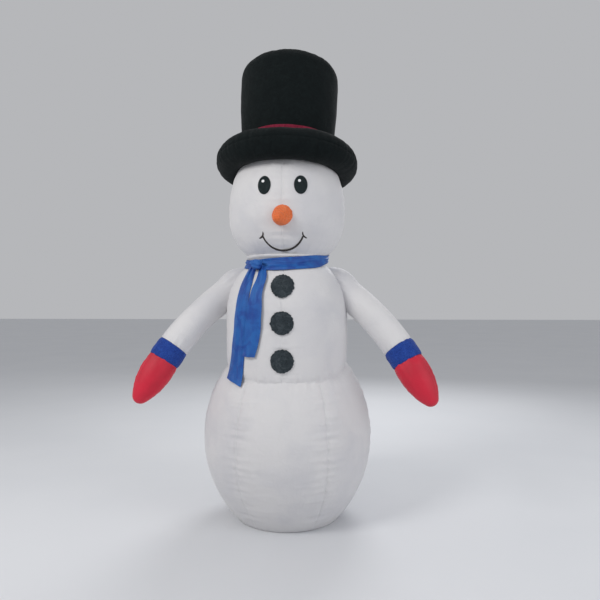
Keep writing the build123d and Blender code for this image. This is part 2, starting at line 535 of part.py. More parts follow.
def cylinder_about_x(radius, x_from, x_to):
    return Pos((x_from + x_to) / 2, 0, 0) * Rot(0, 90, 0) * Cylinder(radius, x_to - x_from)


tape_low = zip_arc_r + STITCH_GAP
coil_low = tape_low + TAPE_THICK + FIT
coil_high = coil_low + COIL_THICK
half_split = COIL_SPLIT / 2
parts["zip_tape"] = Compound(children=[
    zip_arc((tape_low, tape_low + TAPE_THICK), ZIP_FROM, ZIP_TO, *sides)
    for sides in ((-TAPE_WIDTH / 2, -half_split), (half_split, TAPE_WIDTH / 2))])
parts["zip_coil"] = Compound(children=[
    zip_arc((coil_low, coil_high), ZIP_FROM, ZIP_TO, *sides)
    for sides in ((-half_split - COIL_WIDTH, -half_split), (half_split, half_split + COIL_WIDTH))])

# the slider stands at the zip's low end; its web runs in the split and its plate over the coil
slider_turn = ZIP_FROM + 1.2
slider_frame = Pos(0, zip_centre_y, zip_centre_z) * Rot(slider_turn, 0, 0)     # local +Y points out
plate_low = coil_high + SOFT_GAP
plate_high = plate_low + SLIDER_PLATE
half_length = SLIDER_LENGTH / 2
slider = box_between((-SLIDER_WIDTH / 2, plate_low, -half_length), (SLIDER_WIDTH / 2, plate_high, half_length))
web_half = half_length / 3
slider = slider + box_between((-SLIDER_WEB / 2, tape_low + STITCH_GAP, -web_half),
                              (SLIDER_WEB / 2, plate_high, web_half))
bail_y, bail_z = plate_high + BAIL_RISE, -half_length / 2
for side in (-1, 1):
    post_x = side * (BAIL_SPAN / 2 - BAIL_POST / 2)
    slider = slider + box_between((post_x - BAIL_POST / 2, plate_low, bail_z - BAIL_POST_HALF),
                                  (post_x + BAIL_POST / 2, bail_y + BAIL_POST_HALF, bail_z + BAIL_POST_HALF))
slider = slider + Pos(0, bail_y, bail_z) * Rot(0, 90, 0) * Cylinder(BAIL_R, BAIL_SPAN)
parts["zip_slider"] = slider_frame * solid(slider)
eye_r = BAIL_R + SOFT_GAP
pull = Pos(0, bail_y, bail_z) * Rot(0, 90, 0) * Cylinder(eye_r + PULL_EYE_WALL, PULL_EYE_WIDTH)
pull = pull + box_between((-PULL_WIDTH / 4, bail_y - PULL_THICK / 2, bail_z - PULL_NECK),
                          (PULL_WIDTH / 4, bail_y + PULL_THICK / 2, bail_z))
pull = pull + box_between((-PULL_WIDTH / 2, bail_y - PULL_THICK / 2, bail_z - PULL_LENGTH),
                          (PULL_WIDTH / 2, bail_y + PULL_THICK / 2, bail_z - PULL_NECK + 1))
pull = pull - Pos(0, bail_y, bail_z) * Rot(0, 90, 0) * Cylinder(eye_r, PULL_WIDTH)
parts["zip_pull"] = slider_frame * solid(pull)
bail = slider_frame * Pos(0, bail_y, bail_z)
print("zip pull hinge", [round(v, 2) for v in bail.position])


# ======================= lights inside =======================
hanger_top = TORSO_TOP_Z - 40
hanger_low = BASE_THICK + STITCH_GAP + BALLAST_HEIGHT + 2
parts["hanger_tape"] = box_between((TAPE_X - HANGER_WIDTH / 2, -HANGER_THICK, hanger_low),
                                   (TAPE_X + HANGER_WIDTH / 2, 0, hanger_top))
sockets, bulbs = [], []
for z in LAMP_HEIGHTS:
    socket_frame = Pos(TAPE_X, -HANGER_THICK - BULB_R - LAMP_CLEAR, z)
    clip = box_between((-SOCKET_R / 2, 0, 0), (SOCKET_R / 2, BULB_R + LAMP_CLEAR - SEAT, SOCKET_LENGTH / 2))
    socket = Cylinder(SOCKET_R, SOCKET_LENGTH, align=(Align.CENTER, Align.CENTER, Align.MIN)) + clip
    sockets.append(socket_frame * socket)
    base = SOCKET_LENGTH + SEAT
    glass = [(0, base + BULB_LENGTH - BULB_R, BULB_R, -50, 90)]
    neck_r, neck_z = arc_point(glass[0], -50)[0], arc_point(glass[0], -50)[2]
    neck = Pos(0, 0, base) * Cone(SOCKET_R * 0.8, neck_r, neck_z - base, align=(Align.CENTER, Align.CENTER, Align.MIN))
    bulbs.append(socket_frame * solid(neck + full(glass)))
parts["lamp_sockets"] = Compound(children=[solid(s) for s in sockets])
parts["lamp_bulbs"] = Compound(children=[solid(b) for b in bulbs])

# the lead climbs the tape's back from the fan to the top lamp
LEAD_ROUTE = [(20, 300, 100), (24, 262, 108), (30, 215, 128), (31, 160, 165), (28, 105, 215), (25, 58, 268),
              (24, 24, 326), (24, LEAD_R + 0.3, 388), (22, LEAD_R + 0.3, 450), (25, LEAD_R + 0.5, 512),
              (23, LEAD_R + 0.3, 574), (25, LEAD_R + 0.4, 636), (23, LEAD_R + 0.3, 698), (25, LEAD_R + 0.5, 760),
              (23, LEAD_R + 0.3, 822), (25, LEAD_R + 0.4, 884), (23, LEAD_R + 0.3, 946), (24, LEAD_R + 0.3, 1008)]


def bend_radii(route):
    """Each corner's largest arc: 0.45 of the shorter run over the tangent of half the turn."""
    corners = [Vector(*p) for p in route]
    runs = [b - a for a, b in zip(corners, corners[1:])]
    return [0.45 * min(a.length, b.length) / tan(radians(a.get_angle(b) / 2)) for a, b in zip(runs, runs[1:])]


lead_radii = bend_radii(LEAD_ROUTE)
lead_path = FilletPolyline(*LEAD_ROUTE, radius=lead_radii)
lead = sweep(Plane(lead_path @ 0, z_dir=lead_path % 0) * Circle(LEAD_R), path=lead_path)
parts["light_lead"] = solid(lead)
print("light lead", round(lead_path.length), "radii", [round(r) for r in lead_radii],
      "volume ratio", round(lead.volume / (pi * LEAD_R**2 * lead_path.length), 4))


# ======================= tethers and stake tabs =======================
strap_loops, ring_x = [], body_r(RING_HEIGHT) + RING_OFF
for name, azimuth in (("left", RING_AZIMUTH), ("right", -RING_AZIMUTH)):
    ring_frame = Rot(0, 0, azimuth - 90) * Pos(ring_x, 0, RING_HEIGHT)      # local +X points outwards
    bar = Rot(90, 0, 0) * Cylinder(RING_WIRE_R, 2 * RING_R)
    bow = revolve(Pos(0, RING_R, 0) * Circle(RING_WIRE_R), axis=Axis.X, revolution_arc=-180)
    corners = Pos(0, RING_R, 0) * Sphere(RING_WIRE_R) + Pos(0, -RING_R, 0) * Sphere(RING_WIRE_R)
    parts[f"tether_ring_{name}"] = ring_frame * solid(bar + bow + corners)
    hold_r = RING_WIRE_R + SOFT_GAP
    eye = Rot(90, 0, 0) * tube(hold_r + STRAP_THICK, hold_r, -STRAP_WIDTH / 2, STRAP_WIDTH / 2)
    tongue = box_between((-hold_r - STRAP_THICK, -STRAP_WIDTH / 2, 0), (-hold_r, STRAP_WIDTH / 2, STRAP_LENGTH))
    strap_loops.append(solid(ring_frame * (eye + tongue)))
parts["tether_straps"] = Compound(children=strap_loops)

tabs, grommets = [], []
for azimuth in TAB_AZIMUTHS:
    out = Rot(0, 0, azimuth - 90)
    tab_from = BASE_R + FABRIC + SEAT
    tab = box_between((tab_from, -TAB_WIDTH / 2, 0), (tab_from + TAB_LENGTH, TAB_WIDTH / 2, TAB_THICK))
    eye_at = Pos(tab_from + TAB_LENGTH - TAB_WIDTH / 2, 0, 0)
    tab = tab - eye_at * Cylinder(GROMMET_HOLE_R + GROMMET_WALL, BIG)
    tabs.append(out * solid(tab))
    barrel = eye_at * tube(GROMMET_HOLE_R + GROMMET_WALL - 2 * SEAT, GROMMET_HOLE_R, 0, TAB_THICK + GROMMET_RISE)
    flange = eye_at * tube(GROMMET_FLANGE_R, GROMMET_HOLE_R, TAB_THICK + FIT, TAB_THICK + GROMMET_RISE)
    grommets.append(out * solid(barrel + flange))
parts["stake_tabs"] = Compound(children=tabs)
parts["stake_grommets"] = Compound(children=grommets)


# ======================= export =======================
os.makedirs("parts", exist_ok=True)
for name, shape in parts.items():
    export_step(shape if isinstance(shape, Compound) else Compound(children=[solid(shape)]), f"parts/{name}.step")
print(len(parts), "nodes")
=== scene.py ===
import bpy
import json
from math import asin, atan2, cos, degrees, exp, hypot, pi, radians, sin, sqrt, tan
from mathutils import Matrix, Vector, noise


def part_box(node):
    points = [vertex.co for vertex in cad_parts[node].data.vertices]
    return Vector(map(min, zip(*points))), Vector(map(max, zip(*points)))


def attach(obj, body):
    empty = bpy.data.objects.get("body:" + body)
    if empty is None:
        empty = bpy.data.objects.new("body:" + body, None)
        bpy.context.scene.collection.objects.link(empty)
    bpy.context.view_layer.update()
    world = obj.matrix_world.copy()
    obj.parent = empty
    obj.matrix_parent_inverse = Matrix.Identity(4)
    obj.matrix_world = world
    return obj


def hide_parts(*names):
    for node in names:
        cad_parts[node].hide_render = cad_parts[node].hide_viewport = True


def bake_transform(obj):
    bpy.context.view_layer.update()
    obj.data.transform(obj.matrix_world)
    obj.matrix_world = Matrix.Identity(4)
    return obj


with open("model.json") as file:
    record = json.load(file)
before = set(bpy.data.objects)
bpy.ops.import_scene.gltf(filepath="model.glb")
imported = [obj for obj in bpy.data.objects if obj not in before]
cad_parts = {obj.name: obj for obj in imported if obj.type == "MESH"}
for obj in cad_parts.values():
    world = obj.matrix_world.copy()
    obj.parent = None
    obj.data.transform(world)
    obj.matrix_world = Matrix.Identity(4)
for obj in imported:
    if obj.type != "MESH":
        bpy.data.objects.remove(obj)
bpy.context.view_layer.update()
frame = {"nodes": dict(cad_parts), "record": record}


# ======================= driving sizes, in metres =======================
BASE_R, BASE_Z = 0.272, 0.002
BELLY_R, BELLY_Z = 0.442, 0.436
WAIST_R, WAIST_Z = 0.305, 0.826
TORSO_Y = -0.053
CHEST_R, CHEST_LOW_Z, CHEST_HIGH_Z = 0.318, 0.990, 1.085
TORSO_FOOT_R, TORSO_FOOT_Z = 0.306, 0.690
NECK_R, TORSO_TOP_Z, HEAD_FOOT_Z = 0.206, 1.322, 1.366
HEAD_R, HEAD_LOW_Z, HEAD_HIGH_Z = 0.304, 1.575, 1.622
HEAD_JAW_ARC, HEAD_CROWN_ARC = 0.262, 0.430
HAT_Z, HAT_TILT, HAT_LEAN = 1.850, -9.4, 1
BRIM_RING_R, BRIM_TUBE_R = 0.294, 0.077
CROWN_FOOT_R, CROWN_R, CROWN_HEIGHT = 0.226, 0.261, 0.568
CROWN_EDGE_R, CROWN_EDGE_TURN = 0.078, 76
BAND_LOW, BAND_HIGH = 0.040, 0.118
SHOULDER = Vector((0.300, TORSO_Y, 1.190))
ARM_DROOP, ARM_FORWARD, ARM_BEND, ARM_R = 33, 30, 23, 0.078
SLEEVE_LENGTH, CUFF_LENGTH, MITTEN_LENGTH, MITTEN_TUCK = 0.418, 0.086, 0.244, 0.008
MITTEN_BELLY_R, MITTEN_BELLY_AT, MITTEN_TIP_R = 0.081, 0.065, 0.040
FAN_Y, FAN_Z, DUCT_R, COLLAR_END = 0.392, 0.098, 0.076, 0.014

hat_frame = (Matrix.Translation((0, TORSO_Y, HAT_Z)) @ Matrix.Rotation(radians(HAT_TILT), 4, "X")
             @ Matrix.Rotation(radians(HAT_LEAN), 4, "Y"))


# ======================= outlines =======================
def upright_arc(upright_r, upright_z, end_r, end_z):
    """Centre radius, centre height and radius of the arc upright at one point that meets the other."""
    inset, rise = upright_r - end_r, abs(end_z - upright_z)
    radius = (inset**2 + rise**2) / (2 * inset)
    return upright_r - radius, upright_z, radius


def arc_r(arc, z):
    centre_r, centre_z, radius = arc
    return centre_r + sqrt(max(radius**2 - (z - centre_z)**2, 0))


LOWER_ARC = upright_arc(BELLY_R, BELLY_Z, BASE_R, BASE_Z)
UPPER_ARC = upright_arc(BELLY_R, BELLY_Z, WAIST_R, WAIST_Z)
TORSO_LOW_ARC = upright_arc(CHEST_R, CHEST_LOW_Z, TORSO_FOOT_R, TORSO_FOOT_Z)
TORSO_HIGH_ARC = upright_arc(CHEST_R, CHEST_HIGH_Z, NECK_R, TORSO_TOP_Z)
JAW_ARC = (HEAD_R - HEAD_JAW_ARC, HEAD_LOW_Z, HEAD_JAW_ARC)
SCALP_ARC = (HEAD_R - HEAD_CROWN_ARC, HEAD_HIGH_Z, HEAD_CROWN_ARC)


def body_r(z):
    return arc_r(LOWER_ARC if z < BELLY_Z else UPPER_ARC, z)


def torso_r(z):
    if z < CHEST_LOW_Z:
        return arc_r(TORSO_LOW_ARC, z)
    return CHEST_R if z < CHEST_HIGH_Z else arc_r(TORSO_HIGH_ARC, min(z, TORSO_TOP_Z))


def head_r(z):
    if z < HEAD_LOW_Z:
        return arc_r(JAW_ARC, max(z, HEAD_FOOT_Z))
    return HEAD_R if z < HEAD_HIGH_Z else arc_r(SCALP_ARC, z)


def neck_r(z):
    """Torso, neck or jaw, whichever is there."""
    return torso_r(z) if z < TORSO_TOP_Z else NECK_R if z < HEAD_FOOT_Z else head_r(z)


def smooth(t):
    t = min(max(t, 0), 1)
    return t * t * (3 - 2 * t)


def between(a, b, count):
    return [a + (b - a) * n / (count - 1) for n in range(count)]


def arc_points(centre_r, centre_z, radius, start, end, count):
    """Points (radius, height) along an arc, between two angles in radians measured up from the level."""
    return [(centre_r + radius * cos(a), centre_z + radius * sin(a)) for a in between(start, end, count)]


def smooth_line(points, t):
    """A point at t from 0 to 1 on a smooth line through the points."""
    place = t * (len(points) - 1)
    n = min(int(place), len(points) - 2)
    s = place - n
    a, b, c, d = [points[min(max(i, 0), len(points) - 1)] for i in (n - 1, n, n + 1, n + 2)]
    return tuple(0.5 * ((2 * q) + (r - p) * s + (2 * p - 5 * q + 4 * r - w) * s * s
                        + (3 * q - p - 3 * r + w) * s**3)
                 for p, q, r, w in zip(a, b, c, d))


# ======================= modelling helpers =======================
def clear_selection():
    if bpy.context.mode != "OBJECT":
        bpy.ops.object.mode_set(mode="OBJECT")
    bpy.ops.object.select_all(action="DESELECT")


def start_piece(name):
    piece = bpy.context.object
    piece.name = piece.data.name = name
    bpy.ops.object.transform_apply(location=True, rotation=True, scale=True)
    return piece


def lathe(name, profile, steps):
    """Draws a profile of (radius, height) points at the front and spins it once round the Z axis."""
    clear_selection()
    first_r, first_z = profile[0]
    bpy.ops.mesh.primitive_plane_add(size=0.002, location=(0, -first_r, first_z))
    piece = start_piece(name)
    bpy.ops.object.mode_set(mode="EDIT")
    bpy.ops.mesh.select_all(action="SELECT")
    bpy.ops.mesh.merge(type="CENTER")
    for (r0, z0), (r1, z1) in zip(profile, profile[1:]):
        bpy.ops.mesh.extrude_region_move(TRANSFORM_OT_translate={"value": (0, r0 - r1, z1 - z0)})
    bpy.ops.mesh.select_all(action="SELECT")
    bpy.ops.mesh.spin(steps=steps, angle=2 * pi, center=(0, 0, 0), axis=(0, 0, 1))
    bpy.ops.mesh.select_all(action="SELECT")
    bpy.ops.mesh.remove_doubles(threshold=0.00004)
    bpy.ops.mesh.normals_make_consistent(inside=False)
    bpy.ops.object.mode_set(mode="OBJECT")
    return piece


def grid(name, columns, rows):
    """A flat unit sheet in X and Z, from 0 to 1 each way."""
    clear_selection()
    bpy.ops.mesh.primitive_grid_add(x_subdivisions=columns, y_subdivisions=rows, size=1,
                                    location=(0.5, 0, 0.5),
                                    rotation=(pi / 2, 0, 0))
    return start_piece(name)


def reshape(piece, move):
    for vertex in piece.data.vertices:
        vertex.co = move(*vertex.co)
    piece.data.update()


def trim(piece, hidden):
    """Deletes the vertices that hidden names by their place."""
    clear_selection()
    bpy.context.view_layer.objects.active = piece
    bpy.ops.object.mode_set(mode="EDIT")
    bpy.ops.mesh.select_all(action="DESELECT")
    bpy.ops.object.mode_set(mode="OBJECT")
    for vertex in piece.data.vertices:
        vertex.select = hidden(*vertex.co)
    bpy.ops.object.mode_set(mode="EDIT")
    bpy.ops.mesh.delete(type="VERT")
    bpy.ops.object.mode_set(mode="OBJECT")


def turn_outwards(piece):
    clear_selection()
    bpy.context.view_layer.objects.active = piece
    bpy.ops.object.mode_set(mode="EDIT")
    bpy.ops.mesh.select_all(action="SELECT")
    bpy.ops.mesh.normals_make_consistent(inside=False)
    bpy.ops.object.mode_set(mode="OBJECT")


def with_modifier(piece, kind, **settings):
    clear_selection()
    piece.select_set(True)
    bpy.context.view_layer.objects.active = piece
    modifier = piece.modifiers.new(kind.title(), kind)
    for key, value in settings.items():
        setattr(modifier, key, value)
    bpy.ops.object.modifier_apply(modifier=modifier.name)


def smooth_shaded(piece, angle=180):
    clear_selection()
    piece.select_set(True)
    bpy.context.view_layer.objects.active = piece
    if angle == 180:
        bpy.ops.object.shade_smooth()
    else:
        bpy.ops.object.shade_smooth_by_angle(angle=radians(angle))


def mark(piece, name, value):
    """Keeps a number per vertex, for the material to read."""
    attribute = piece.data.attributes.new(name, "FLOAT", "POINT")
    attribute.data.foreach_set("value", [value(*v.co) for v in piece.data.vertices])


def finished(piece, body, material, slot, *nodes, angle=180):
    smooth_shaded(piece, angle)
    piece.data.materials.clear()
    piece.data.materials.append(material)
    if nodes:
        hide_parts(*nodes)
    if body:
        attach(piece, body)
    return piece


# ======================= cloth shapes =======================
def ripple(x, y, z, size, seed=0):
    """Soft irregular height from -1 to 1, with lumps about this size."""
    return noise.noise(Vector((x / size, y / size, z / size + 7.3 * seed)))


def gathers(along, across, pitch, reach, seed):
    """Short folds that run out from a seam and die away over reach, from -1 to 1."""
    fade = exp(-abs(across) / reach)
    wander = 0.25 * noise.noise(Vector((along / (3 * pitch), across / reach, seed + 9)))
    fold = 2.3 * noise.noise(Vector((along / pitch + wander, 0.3 * across / reach, seed)))
    return fade * min(max(fold, -1), 1)


def seam_gap(angle, seams):
    """Smallest angle, in radians and signed, from a direction to one of the seams, in degrees."""
    gaps = [(angle - radians(s) + pi) % (2 * pi) - pi for s in seams]
    return min(gaps, key=abs)


def facing(x, y, centre_y=0):
    """Direction round an upright axis: 0 at the front, positive towards +X."""
    return atan2(x, centre_y - y)


# ======================= materials =======================
class Finish:
    """A material being mixed: its nodes, its shader, and the place on the piece that its patterns read."""

    def __init__(self, name, colour, roughness, **sockets):
        self.material = bpy.data.materials.new(name)
        self.material.use_nodes = True
        self.nodes, self.links = self.material.node_tree.nodes, self.material.node_tree.links
        self.shader = self.nodes["Principled BSDF"]
        self.shader.inputs["Base Color"].default_value = (*colour, 1)
        self.shader.inputs["Roughness"].default_value = roughness
        for key, value in sockets.items():
            self.shader.inputs[key.replace("_", " ")].default_value = value
        self.place = self.nodes.new("ShaderNodeTexCoord").outputs["Object"]
        self.surface = None

    def add(self, kind, inputs, **settings):
        node = self.nodes.new("ShaderNode" + kind)
        for key, value in settings.items():
            setattr(node, key, value)
        for key, value in inputs.items():
            if isinstance(value, bpy.types.NodeSocket):
                self.links.new(value, node.inputs[key])
            else:
                node.inputs[key].default_value = value
        return node

    def sum(self, operation, *values):
        return self.add("Math", dict(enumerate(values)), operation=operation).outputs[0]

    def cloud(self, size, detail=3, distortion=0):
        """Noise from 0 to 1 with lumps about this size, in metres."""
        return self.add("TexNoise", {"Vector": self.place, "Scale": 1 / size, "Detail": detail,
                                     "Distortion": distortion}).outputs["Fac"]

    def threads(self, pitch, direction):
        """Rows of threads this far apart, across one axis."""
        return self.add("TexWave", {"Vector": self.place, "Scale": 2 * pi / (20 * pitch), "Distortion": 0.6,
                                    "Detail": 1}, bands_direction=direction).outputs["Fac"]

    def step(self, value, low, high):
        return self.add("MapRange", {"Value": value, "From Min": low, "From Max": high},
                        interpolation_type="SMOOTHSTEP").outputs["Result"]

    def tint(self, under, over, amount):
        """Two colours, or a colour's socket and a colour, mixed by an amount."""
        mix = self.add("Mix", {0: amount, 7: (*over, 1)}, data_type="RGBA")
        if isinstance(under, bpy.types.NodeSocket):
            self.links.new(under, mix.inputs[6])
        else:
            mix.inputs[6].default_value = (*under, 1)
        return mix.outputs[2]

    def paint(self, colour):
        self.links.new(colour, self.shader.inputs["Base Color"])

    def polish(self, value, low, high):
        """Roughness that wanders from low to high."""
        spread = self.add("MapRange", {"Value": value, "To Min": low, "To Max": high}).outputs["Result"]
        self.links.new(spread, self.shader.inputs["Roughness"])

    def emboss(self, height, depth, strength=1.0):
        """Raises the surface by a height from 0 to 1 times a depth in metres, on top of earlier embossing."""
        inputs = {"Height": height, "Distance": depth, "Strength": strength}
        if self.surface:
            inputs["Normal"] = self.surface
        self.surface = self.add("Bump", inputs).outputs["Normal"]
        self.links.new(self.surface, self.shader.inputs["Normal"])


SEAM_REACH = 0.02        # seams are marked on the mesh up to this far off
STITCH_PITCH, STITCH_ROW = 0.0048, 0.0052


def stitched(finish, colour, thread):
    """The groove of a seam and a row of stitches on each side of it, where the mesh marks one."""
    close = finish.add("Attribute", {}, attribute_name="seam_close").outputs["Fac"]
    along = finish.add("Attribute", {}, attribute_name="seam_along").outputs["Fac"]
    groove = finish.step(close, SEAM_REACH - 0.0022, SEAM_REACH - 0.0006)
    off_row = finish.sum("ABSOLUTE", finish.sum("SUBTRACT", close, SEAM_REACH - STITCH_ROW))
    row = finish.sum("SUBTRACT", 1, finish.step(off_row, 0.0006, 0.0012))
    dash = finish.sum("LESS_THAN", finish.sum("FRACT", finish.sum("DIVIDE", along, STITCH_PITCH)), 0.62)
    stitches = finish.sum("MULTIPLY", row, dash)
    marks = finish.sum("MAXIMUM", finish.sum("MULTIPLY", groove, 0.75), finish.sum("MULTIPLY", stitches, 0.4))
    finish.emboss(finish.sum("SUBTRACT", 1, marks), 0.0012)
    return finish.tint(colour, thread, marks)


def inflatable_cloth(name, colour, shade, thread, roughness=0.62, weave=0.0011, sheen=0.12):
    """Thin woven polyester held out by air: fine threads, soft crumples and sewn seams."""
    finish = Finish(name, colour, roughness, Sheen_Weight=sheen, Sheen_Roughness=0.5)
    cloudy = finish.tint(colour, shade, finish.step(finish.cloud(0.21, 4, 0.4), 0.38, 0.72))
    threads = finish.sum("MAXIMUM", finish.threads(weave, "Z"), finish.threads(weave, "DIAGONAL"))
    woven = finish.tint(cloudy, shade, finish.sum("MULTIPLY", finish.sum("SUBTRACT", 1, threads), 0.22))
    finish.emboss(finish.cloud(0.055, 4, 0.9), 0.004, 0.55)
    finish.emboss(finish.cloud(0.012, 3, 0.5), 0.0007, 0.5)
    finish.emboss(threads, 0.00025, 0.6)
    finish.paint(stitched(finish, woven, thread))
    finish.polish(finish.cloud(0.09), roughness - 0.08, roughness + 0.1)
    return finish.material


def plush(name, colour, lit_tips, pile=0.0035, sheen=0.5):
    """Short pile fabric: lit tufts painted as a highlight at their tips over brushed patches, and painted
    shadow between them.
    """
    finish = Finish(name, colour, 0.95, Sheen_Weight=sheen, Sheen_Roughness=0.35, Specular_IOR_Level=0.2)
    tufts = finish.cloud(pile, 5, 1.2)
    brushed = finish.cloud(0.035, 4, 1.5)
    # painted highlight: the lighter lit-tip colour is mixed in over brushed patches of the pile
    highlighted_pile = finish.tint(colour, lit_tips, finish.sum("MULTIPLY", finish.step(brushed, 0.35, 0.75), 0.55))
    # painted shadow between the tufts: the colour darkened to 0.45, also used as the seams' dark colour
    tuft_shadow_and_seam = [c * 0.45 for c in colour]
    finish.emboss(brushed, 0.004, 0.5)
    finish.emboss(tufts, 0.0022, 0.9)
    # painted shadow mixed in where the tuft noise is low, over the painted highlight
    finish.paint(stitched(finish, finish.tint(highlighted_pile, tuft_shadow_and_seam, finish.step(tufts, 0.55, 0.3)), tuft_shadow_and_seam))
    return finish.material


def scarf_cloth():
    """Smooth blue tricot with a soft shine, fine ribs and noise patches of painted fold shade."""
    colour, shade = (0.016, 0.130, 0.43), (0.012, 0.060, 0.30)
    finish = Finish("scarf_blue_tricot", colour, 0.5, Sheen_Weight=0.08, Sheen_Roughness=0.3,
                    Specular_IOR_Level=0.35)
    ribs = finish.threads(0.0016, "X")
    # painted shade: noise patches of the darker blue stand in for shade in folds
    painted_fold_shade = finish.tint(colour, shade, finish.step(finish.cloud(0.06, 3, 0.8), 0.35, 0.7))
    finish.paint(finish.tint(painted_fold_shade, shade, finish.sum("MULTIPLY", finish.sum("SUBTRACT", 1, ribs), 0.3)))
    finish.emboss(finish.cloud(0.03, 4, 1.0), 0.003, 0.5)
    finish.emboss(ribs, 0.0003, 0.7)
    finish.polish(finish.cloud(0.02), 0.42, 0.6)
    return finish.material


def moulded(name, colour, roughness=0.45, grain=0.0012, **sockets):
    """Moulded plastic or rubber with a fine grain and a little dust."""
    finish = Finish(name, colour, roughness, **sockets)
    dusty = [min(c * 1.5 + 0.02, 1) for c in colour]
    finish.paint(finish.tint(colour, dusty, finish.step(finish.cloud(0.025, 5, 0.6), 0.48, 0.8)))
    finish.emboss(finish.cloud(grain, 2), 0.0002, 0.5)
    finish.polish(finish.cloud(0.012), roughness - 0.08, roughness + 0.12)
    return finish.material


def metal(name, colour, roughness, brushed=0.0008):
    """Plain metal with brush marks and duller patches."""
    finish = Finish(name, colour, roughness, Metallic=1.0)
    dull = [c * 0.62 for c in colour]
    marks = finish.threads(brushed, "Z")
    finish.paint(finish.tint(colour, dull, finish.step(finish.cloud(0.008, 4, 0.8), 0.5, 0.8)))
    finish.emboss(marks, 0.00005, 0.5)
    finish.polish(finish.cloud(0.006), roughness - 0.06, roughness + 0.16)
    return finish.material


def webbing(name, colour, pitch=0.0022):
    """Flat woven tape with raised cross ribs."""
    finish = Finish(name, colour, 0.85, Sheen_Weight=0.2)
    ribs = finish.sum("MULTIPLY", finish.threads(pitch, "Z"), finish.threads(pitch, "X"))
    pale = [min(c * 1.9 + 0.01, 1) for c in colour]
    finish.paint(finish.tint(colour, pale, finish.sum("MULTIPLY", ribs, 0.5)))
    finish.emboss(ribs, 0.0005, 0.9)
    return finish.material


WHITE_CLOTH = inflatable_cloth("white_polyester", (0.69, 0.68, 0.685), (0.62, 0.615, 0.635),
                               (0.77, 0.77, 0.78))
RED_CLOTH = inflatable_cloth("mitten_red_polyester", (0.66, 0.006, 0.036), (0.50, 0.004, 0.026),
                             (0.16, 0.003, 0.014), roughness=0.55, sheen=0.04)
HAT_PLUSH = plush("hat_black_plush", (0.0026, 0.0056, 0.0062), (0.0070, 0.0125, 0.0130), sheen=0.05)
BAND_PLUSH = plush("hat_band_red_plush", (0.20, 0.012, 0.035), (0.33, 0.03, 0.07), sheen=0.3)
CUFF_PLUSH = plush("cuff_blue_plush", (0.020, 0.060, 0.31), (0.035, 0.10, 0.42), sheen=0.12)
BUTTON_PLUSH = plush("button_charcoal_plush", (0.030, 0.040, 0.047), (0.080, 0.098, 0.110), pile=0.005,
                     sheen=0.2)
EYE_CLOTH = plush("eye_charcoal_cloth", (0.014, 0.022, 0.024), (0.032, 0.044, 0.047), pile=0.0025, sheen=0.1)
NOSE_PLUSH = plush("nose_orange_plush", (0.90, 0.20, 0.065), (0.95, 0.28, 0.11), pile=0.0028, sheen=0.12)
GLINT_CLOTH = inflatable_cloth("eye_glint_white", (0.86, 0.87, 0.88), (0.78, 0.79, 0.81), (0.5, 0.5, 0.5))
MOUTH_THREAD = webbing("mouth_dark_stitching", (0.020, 0.014, 0.012), 0.0014)
BALLAST_CLOTH = webbing("ballast_grey_canvas", (0.16, 0.16, 0.165), 0.0018)
SCARF_CLOTH = scarf_cloth()
BLACK_WEBBING = webbing("black_webbing", (0.016, 0.016, 0.017))
WHITE_TAPE = webbing("white_tape", (0.62, 0.63, 0.65), 0.0014)

KEPT = {
    "steel": metal("zinc_plated_steel", (0.55, 0.56, 0.58), 0.32),
    "motor_can": metal("motor_aluminium", (0.46, 0.46, 0.48), 0.42, 0.0014),
    "black_plastic": moulded("fan_black_plastic", (0.018, 0.018, 0.019), 0.42),
    "brass": metal("grommet_brass", (0.62, 0.43, 0.17), 0.3),
    "nylon_coil": moulded("zip_nylon_coil", (0.68, 0.69, 0.71), 0.5, 0.0006),
    "zip_metal": moulded("zip_slider_nylon", (0.60, 0.61, 0.63), 0.38, 0.0006),
    "white_plastic": moulded("lamp_socket_plastic", (0.74, 0.74, 0.72), 0.4),
    "frosted_bulb": moulded("frosted_bulb", (0.86, 0.86, 0.83), 0.55, 0.0005, Transmission_Weight=0.35),
    "white_cable": moulded("light_lead_vinyl", (0.70, 0.70, 0.68), 0.5, 0.0008),
}


# ======================= lower body =======================
GORE_SEAMS = (-150, -90, -30, 30, 90, 150)
WAIST_PINCH, PUCKER = 0.007, 0.0030


def waist_z(direction):
    """Height at which the torso's skin meets the lower body's, in a direction round the torso's axis."""
    low, high = 0.70, 0.93
    for _ in range(24):
        z = (low + high) / 2
        reach = torso_r(z)
        x, y = reach * sin(direction), TORSO_Y - reach * cos(direction)
        low, high = (z, high) if hypot(x, y) < body_r(z) else (low, z)
    return low


WAIST = [waist_z(2 * pi * n / 180) for n in range(181)]


def waist_at(direction):
    place = direction % (2 * pi) / (2 * pi) * 180
    n = min(int(place), 179)
    return WAIST[n] + (WAIST[n + 1] - WAIST[n]) * (place - n)


def seam_marks(piece, seams, radius_of, centre_y=0):
    """Marks how near each point is to an upright seam, and how far along it."""
    def close(x, y, z):
        gap = seam_gap(facing(x, y, centre_y), seams)
        return max(SEAM_REACH - abs(gap) * radius_of(z), 0)
    mark(piece, "seam_close", close)
    mark(piece, "seam_along", lambda x, y, z: z)


def puckered(x, y, z, direction, radius, seams, seed, reach=0.055, amount=PUCKER):
    """How far cloth stands out beside an upright seam: pulled in on it, bunched next to it."""
    gap = seam_gap(direction, seams)
    off = gap * radius
    bunch = gathers(z, off, 0.019, reach, seed) * amount * (1 - 0.6 * exp(-abs(off) / 0.006))
    bunch += 0.5 * gathers(z, off, 0.043, 1.6 * reach, seed + 40) * amount
    groove = -0.0024 * exp(-abs(off) / 0.008)
    fullness = 0.0045 * (1 - exp(-abs(off) / 0.10)) - 0.002
    return bunch + groove + fullness


